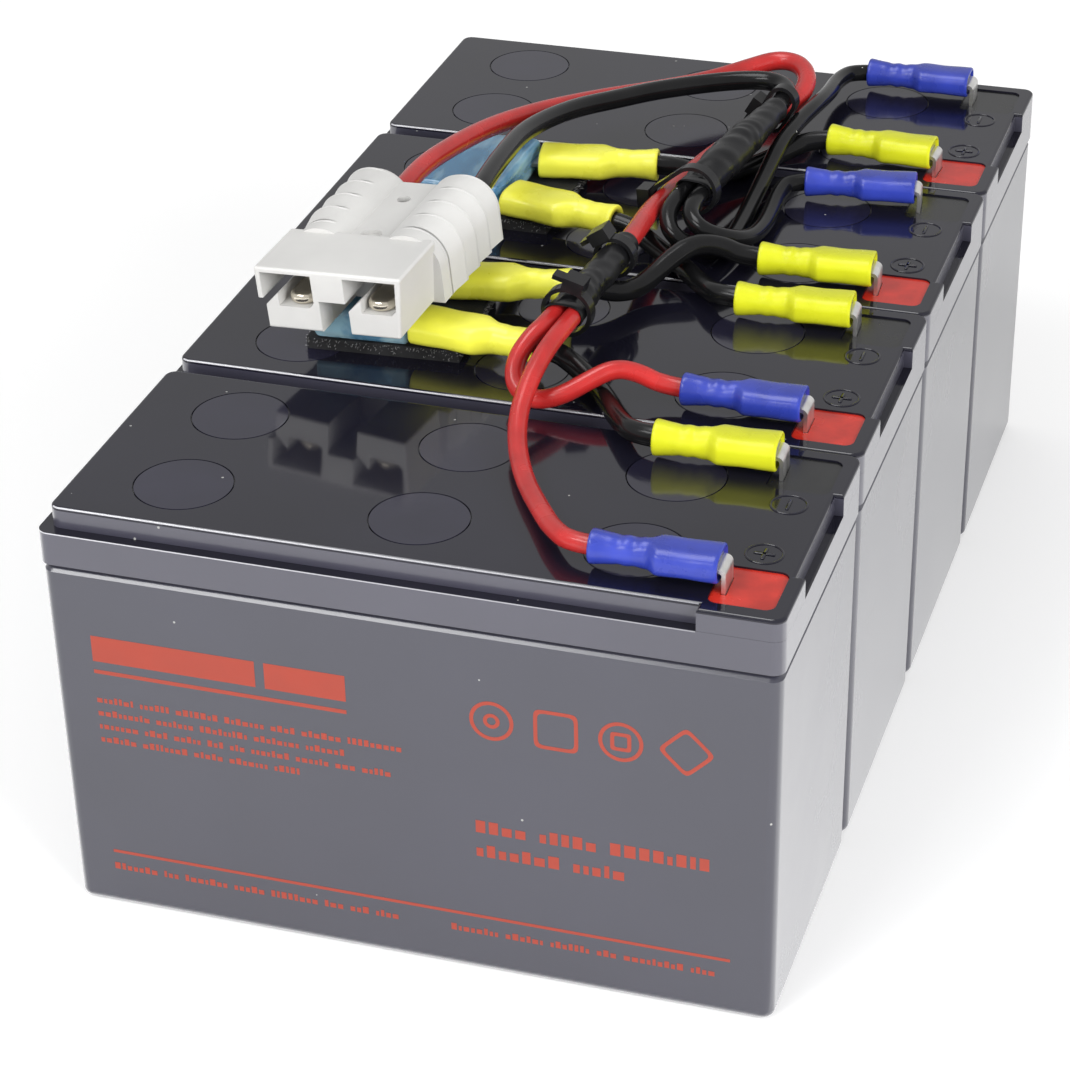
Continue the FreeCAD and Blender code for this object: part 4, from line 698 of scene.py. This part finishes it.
# mating end in mm and the way the sleeve points, degrees about Z
sleevePlaces = {
    "blue_sleeve_1": ("blue", [((61.00, -119.91, 98.40), 181.0)]),
    "blue_sleeve_2": ("blue", [((61.00, -54.81, 98.40), 180.5)]),
    "blue_sleeve_3": ("blue", [((61.00, 54.73, 98.40), 187.0)]),
    "blue_sleeve_4": ("blue", [((61.00, 119.90, 98.40), 180.0)]),
    "yellow_sleeve_1": ("yellow", [((61.00, -75.42, 98.40), 182.0)]),
    "yellow_sleeve_2": ("yellow", [((61.00, -10.33, 98.40), 183.0)]),
    "yellow_sleeve_3": ("yellow", [((61.00, 10.27, 98.40), 183.0)]),
    "yellow_sleeve_4": ("yellow", [((61.00, 75.43, 98.40), 177.0)]),
    "front_fuse_sleeves": ("fuse", [((-25.17, -45.05, 100.30), -7.0), ((-26.49, -23.23, 100.30), 9.0)]),
    "rear_fuse_sleeves": ("fuse", [((-26.22, 21.28, 100.30), -13.0), ((-25.83, 43.27, 100.30), 9.0)]),
}


def sleeveGrid(look):
    # y = a cos^(2/p), z = b sin^(2/p): a and b ease from housing to barrel to flared mouth, p eases to 2,
    # dents press z in and the lips round off both ends
    length, housing, neck = look["length"], look["housing"], look["neck"]
    skin = sleeveSkin
    wall, barrel, mouth = skin["wall"], look["round"], look["round"] + skin["flare"]
    lips, first = np.array(skin["lips"]), skin["first"]
    outerAt = np.concatenate([lips, np.linspace(first, length - first, skin["rows"]), length - lips[::-1]])
    innerAt = np.array([length, housing + neck + skin["step"], housing + neck, housing, 0.0])
    angle = roundSteps(skin["columns"])
    knots = [0, housing - skin["shoulder"], housing + neck, length - skin["mouth"], length]
    wide = easeTable(outerAt, knots, [look["wide"], look["wide"], barrel, barrel, mouth])
    high = easeTable(outerAt, knots, [look["high"], look["high"], barrel, barrel, mouth])
    power = easeTable(outerAt, knots, [skin["power"], skin["power"], 2.0, 2.0, 2.0])
    toEnd = np.minimum(outerAt, length - outerAt)
    lip = skin["lip"] * np.clip(1 - toEnd / skin["lipDeep"], 0, 1) ** 2
    press = sum(np.exp(-((outerAt - d) / skin["dentWide"]) ** 2) for d in look["dents"]) * look["dent"]
    waist = skin["waist"] * np.exp(-((outerAt - housing * skin["waistAt"]) / skin["waistWide"]) ** 2)
    wide = wide * (1 - waist * skin["waistSide"]) - 2 * lip
    high = high * (1 - press) * (1 - waist) - 2 * lip
    boreWide = np.array([look["bore"]] * 3 + [look["wide"] - 2 * wall] * 2)
    boreHigh = np.array([look["bore"]] * 3 + [look["high"] - 2 * wall] * 2)
    borePower = np.array([2.0] * 3 + [skin["borePower"]] * 2)
    at = np.concatenate([outerAt, innerAt])[:, None]
    half = np.concatenate([wide, boreWide])[:, None] / 2, np.concatenate([high, boreHigh])[:, None] / 2
    power = 2 / np.concatenate([power, borePower])[:, None]
    y = half[0] * signedPower(np.cos(angle), power)
    z = half[1] * signedPower(np.sin(angle), power)
    return np.stack([np.broadcast_to(at, y.shape), y, z], -1)


for node, (shape, places) in sleevePlaces.items():
    grids = [turnedTo(sleeveGrid(sleeveShapes[shape]), place, yaw) for place, yaw in places]
    skin = addPiece(node.replace("_", "") + "Skin", grids, sleeveShapes[shape]["finish"])
    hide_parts(node)
print("sleeves:", len(sleevePlaces))

# hook fibres that stand out of the cut sides of the fuse pads; middle: how far out and how far bent
padFuzz = {"pads": [((-37.6, -34.8), 3.5), ((-37.8, 32.5), -1.0)], "x": (-12.0, 21.6), "y": (-15.1, 15.1),
           "z": (94.3, 96.6), "count": 520, "reach": (0.25, 0.8), "thick": 0.075, "seed": 5,
           "root": 0.15, "crowding": 0.5, "lean": 0.35, "leanAxes": (1, 1, 0.6), "middle": (0.6, 0.5),
           "tip": 0.8, "corners": (0, 2.094, 4.189), "taper": (0.6, 1.0, 0.3)}


def fuzzGrids(look):
    # each fibre is a three-sided spindle of three rows: root inside the pad, bent middle and tip outside it;
    # u runs round the pad's outline and gives the root and the way out
    chance = np.random.default_rng(look["seed"])
    count = look["count"]
    (x0, x1), (y0, y1) = look["x"], look["y"]
    side = chance.integers(0, 4, count)
    u = chance.uniform(0, 1, count)
    across, deep = x0 + u * (x1 - x0), y0 + u * (y1 - y0)
    xs = np.choose(side, [across, np.full(count, x1), across, np.full(count, x0)])
    ys = np.choose(side, [np.full(count, y0), deep, np.full(count, y1), deep])
    out = np.stack([(side == 1) * 1.0 - (side == 3), (side == 2) * 1.0 - (side == 0), np.zeros(count)], -1)
    low, high = look["z"]
    up = low + (high - low) * chance.uniform(0, 1, count) ** look["crowding"]
    inside = look["root"]
    root = np.stack([xs, ys, up], -1) - out * inside
    reach = chance.uniform(*look["reach"], count)[:, None]
    lean = chance.normal(0, look["lean"], (count, 3)) * look["leanAxes"]
    away, bent = look["middle"]
    middle = root + out * (inside + reach * away) + lean * reach * bent
    tip = root + out * (inside + reach * look["tip"]) + lean * reach
    spine = np.stack([root, middle, tip], 1)
    turn = np.array(look["corners"])
    tangent = np.cross(out, (0, 0, 1))
    upright = np.array((0, 0, 1.0))
    ring = np.cos(turn)[None, :, None] * tangent[:, None] + np.sin(turn)[None, :, None] * upright
    thick = look["thick"] * np.array(look["taper"])[None, :, None, None]
    return spine[:, :, None] + thick * ring[:, None]


fibres = [turnedTo(grid, (*place, 0), yaw) for place, yaw in padFuzz["pads"] for grid in fuzzGrids(padFuzz)]
addPiece("padFibres", fibres, "fuzzPale", (False, True), False)
print("pad fibres:", len(fibres))

# polarity marks on the lids: a plus or a minus of low bars in a ring
marks = {"x": 66.0, "plusFrom": 22.8, "minusFrom": 42.2, "ring": 3.6, "line": 0.55, "lift": 0.22, "bar": 4.2,
         "lidTop": 94.0, "width": 65.0, "pitch": 65.1, "count": 4, "ringSteps": (40, 8), "barSteps": 24,
         "barLine": 1.3, "sunk": 0.05, "edge": 0.6, "crown": 0.9, "square": 0.3}


def ringGrid(centre, look):
    # a half-round ridge swept round a circle, its underside sunk a little
    turn, roll = (roundSteps(count) for count in look["ringSteps"])
    turn = turn[:, None]
    r = look["ring"] + look["line"] / 2 * np.cos(roll)
    z = np.broadcast_to(look["lift"] * np.sin(roll), look["ringSteps"])
    return np.stack([centre[0] + r * np.cos(turn), centre[1] + r * np.sin(turn), centre[2] + z], -1) * mm


def barGrid(centre, look, turned):
    # a low mound: rows shrink from the outline to the crown, columns follow a superellipse
    angle = roundSteps(look["barSteps"])
    share = np.array([1.0, 1.0, look["crown"]])[:, None]
    height = np.array([-look["sunk"], look["lift"] * look["edge"], look["lift"]])[:, None]
    u = share * look["bar"] / 2 * signedPower(np.cos(angle), look["square"])
    v = share * (look["line"] * look["barLine"]) / 2 * signedPower(np.sin(angle), look["square"])
    x, y = (v, u) if turned else (u, v)
    z = np.broadcast_to(height, u.shape)
    return np.stack([centre[0] + x, centre[1] + y, centre[2] + z], -1) * mm


rings, bars = [], []
for battery in range(marks["count"]):
    edge = (battery - (marks["count"] - 1) / 2) * marks["pitch"] - marks["width"] / 2
    plus = (marks["x"], edge + marks["plusFrom"], marks["lidTop"])
    minus = (marks["x"], edge + marks["minusFrom"], marks["lidTop"])
    rings += [ringGrid(centre, marks) for centre in (plus, minus)]
    bars += [barGrid(plus, marks, True), barGrid(plus, marks, False), barGrid(minus, marks, True)]
addPiece("polarityRings", rings, "lidBlack")
addPiece("polarityBars", bars, "lidBlack", (False, True))
print("polarity marks:", len(rings))

# plain print on the front case: bars, outlines and rows of small blocks, in mm on the face
# fields: left, right, low, high; rows: left, right, low, height; outlines: x, z, size, line, power, turn
printLook = {
    "front": -130.15, "overhang": 0.3, "draft": 0.55, "height": 81.5, "lift": 0.04, "seed": 12,
    "sunk": -0.2, "proud": 1.0, "steps": 48,
    "letters": {"group": (3, 10), "wide": (0.35, 0.8), "tall": (0.7, 0.7, 1.0), "gap": 0.26, "space": 0.75},
    "fields": [(-66.0, -31.0, 60.5, 66.5), (-29.0, -12.0, 60.5, 66.5), (-66.0, -12.0, 57.6, 58.5),
               (-66.0, 66.0, 13.2, 13.9)],
    "rows": [(-66.0, -6.0, 50.6, 1.5), (-66.0, -14.0, 47.4, 1.5), (-66.0, -9.0, 44.2, 1.5),
             (-66.0, -28.0, 41.0, 1.5), (14.0, 62.0, 34.4, 2.9), (14.0, 46.0, 28.6, 2.9),
             (-66.0, -8.0, 9.0, 1.6), (8.0, 60.0, 9.0, 1.6)],
    "outlines": [(18.0, 61.5, 9.0, 0.8, 2.0, 0), (31.0, 61.5, 9.0, 0.8, 7.0, 0),
                 (44.0, 61.5, 9.0, 0.8, 2.0, 0), (57.0, 61.5, 8.2, 0.8, 7.0, 45),
                 (18.0, 61.5, 3.4, 0.8, 2.0, 0), (44.0, 61.5, 4.2, 0.8, 7.0, 0)],
}


def onFace(x, z, out):
    # y follows the drafted face at each height
    face = printLook["front"] + printLook["overhang"] + printLook["draft"] * (1 - z / printLook["height"])
    return np.stack([x, face - out * printLook["lift"], z], -1) * mm


def printBlocks(spans):
    # left, right, low and high of each block: four corners just under the face and four proud of it
    spans = np.array(spans)
    x, z = spans[:, [0, 1, 1, 0]], spans[:, [2, 2, 3, 3]]
    return np.stack([onFace(x, z, printLook[out]) for out in ("sunk", "proud")], 1)


def printRow(left, right, low, tall, chance):
    # blocks of mixed width and height in groups, as small print looks from afar
    look, spans, x = printLook["letters"], [], left
    while x < right:
        for block in range(chance.integers(*look["group"])):
            wide = tall * chance.uniform(*look["wide"])
            spans.append((x, x + wide, low, low + tall * chance.choice(look["tall"])))
            x += wide + tall * look["gap"]
        x += tall * look["space"]
    return spans


def printOutline(x, z, size, line, power, turn):
    # u = a cos^(2/p), v = a sin^(2/p), turned: inner and outer edge under the face, then both proud of it
    angle = roundSteps(printLook["steps"])
    inner, outer = size / 2 - line, size / 2
    half = np.array([inner, outer, outer, inner])[:, None]
    u = half * signedPower(np.cos(angle), 2 / power)
    v = half * signedPower(np.sin(angle), 2 / power)
    c, s = math.cos(math.radians(turn)), math.sin(math.radians(turn))
    out = np.array([printLook[k] for k in ("sunk", "sunk", "proud", "proud")])[:, None]
    return onFace(x + u * c - v * s, z + u * s + v * c, out)


chance = np.random.default_rng(printLook["seed"])
blocks = printLook["fields"] + [span for row in printLook["rows"] for span in printRow(*row, chance)]
addPiece("printBlocks", list(printBlocks(blocks)), "printOrange", (False, True), False)
outlines = [printOutline(*look) for look in printLook["outlines"]]
addPiece("printOutlines", outlines, "printOrange", smooth=False)
print("print blocks:", len(blocks))
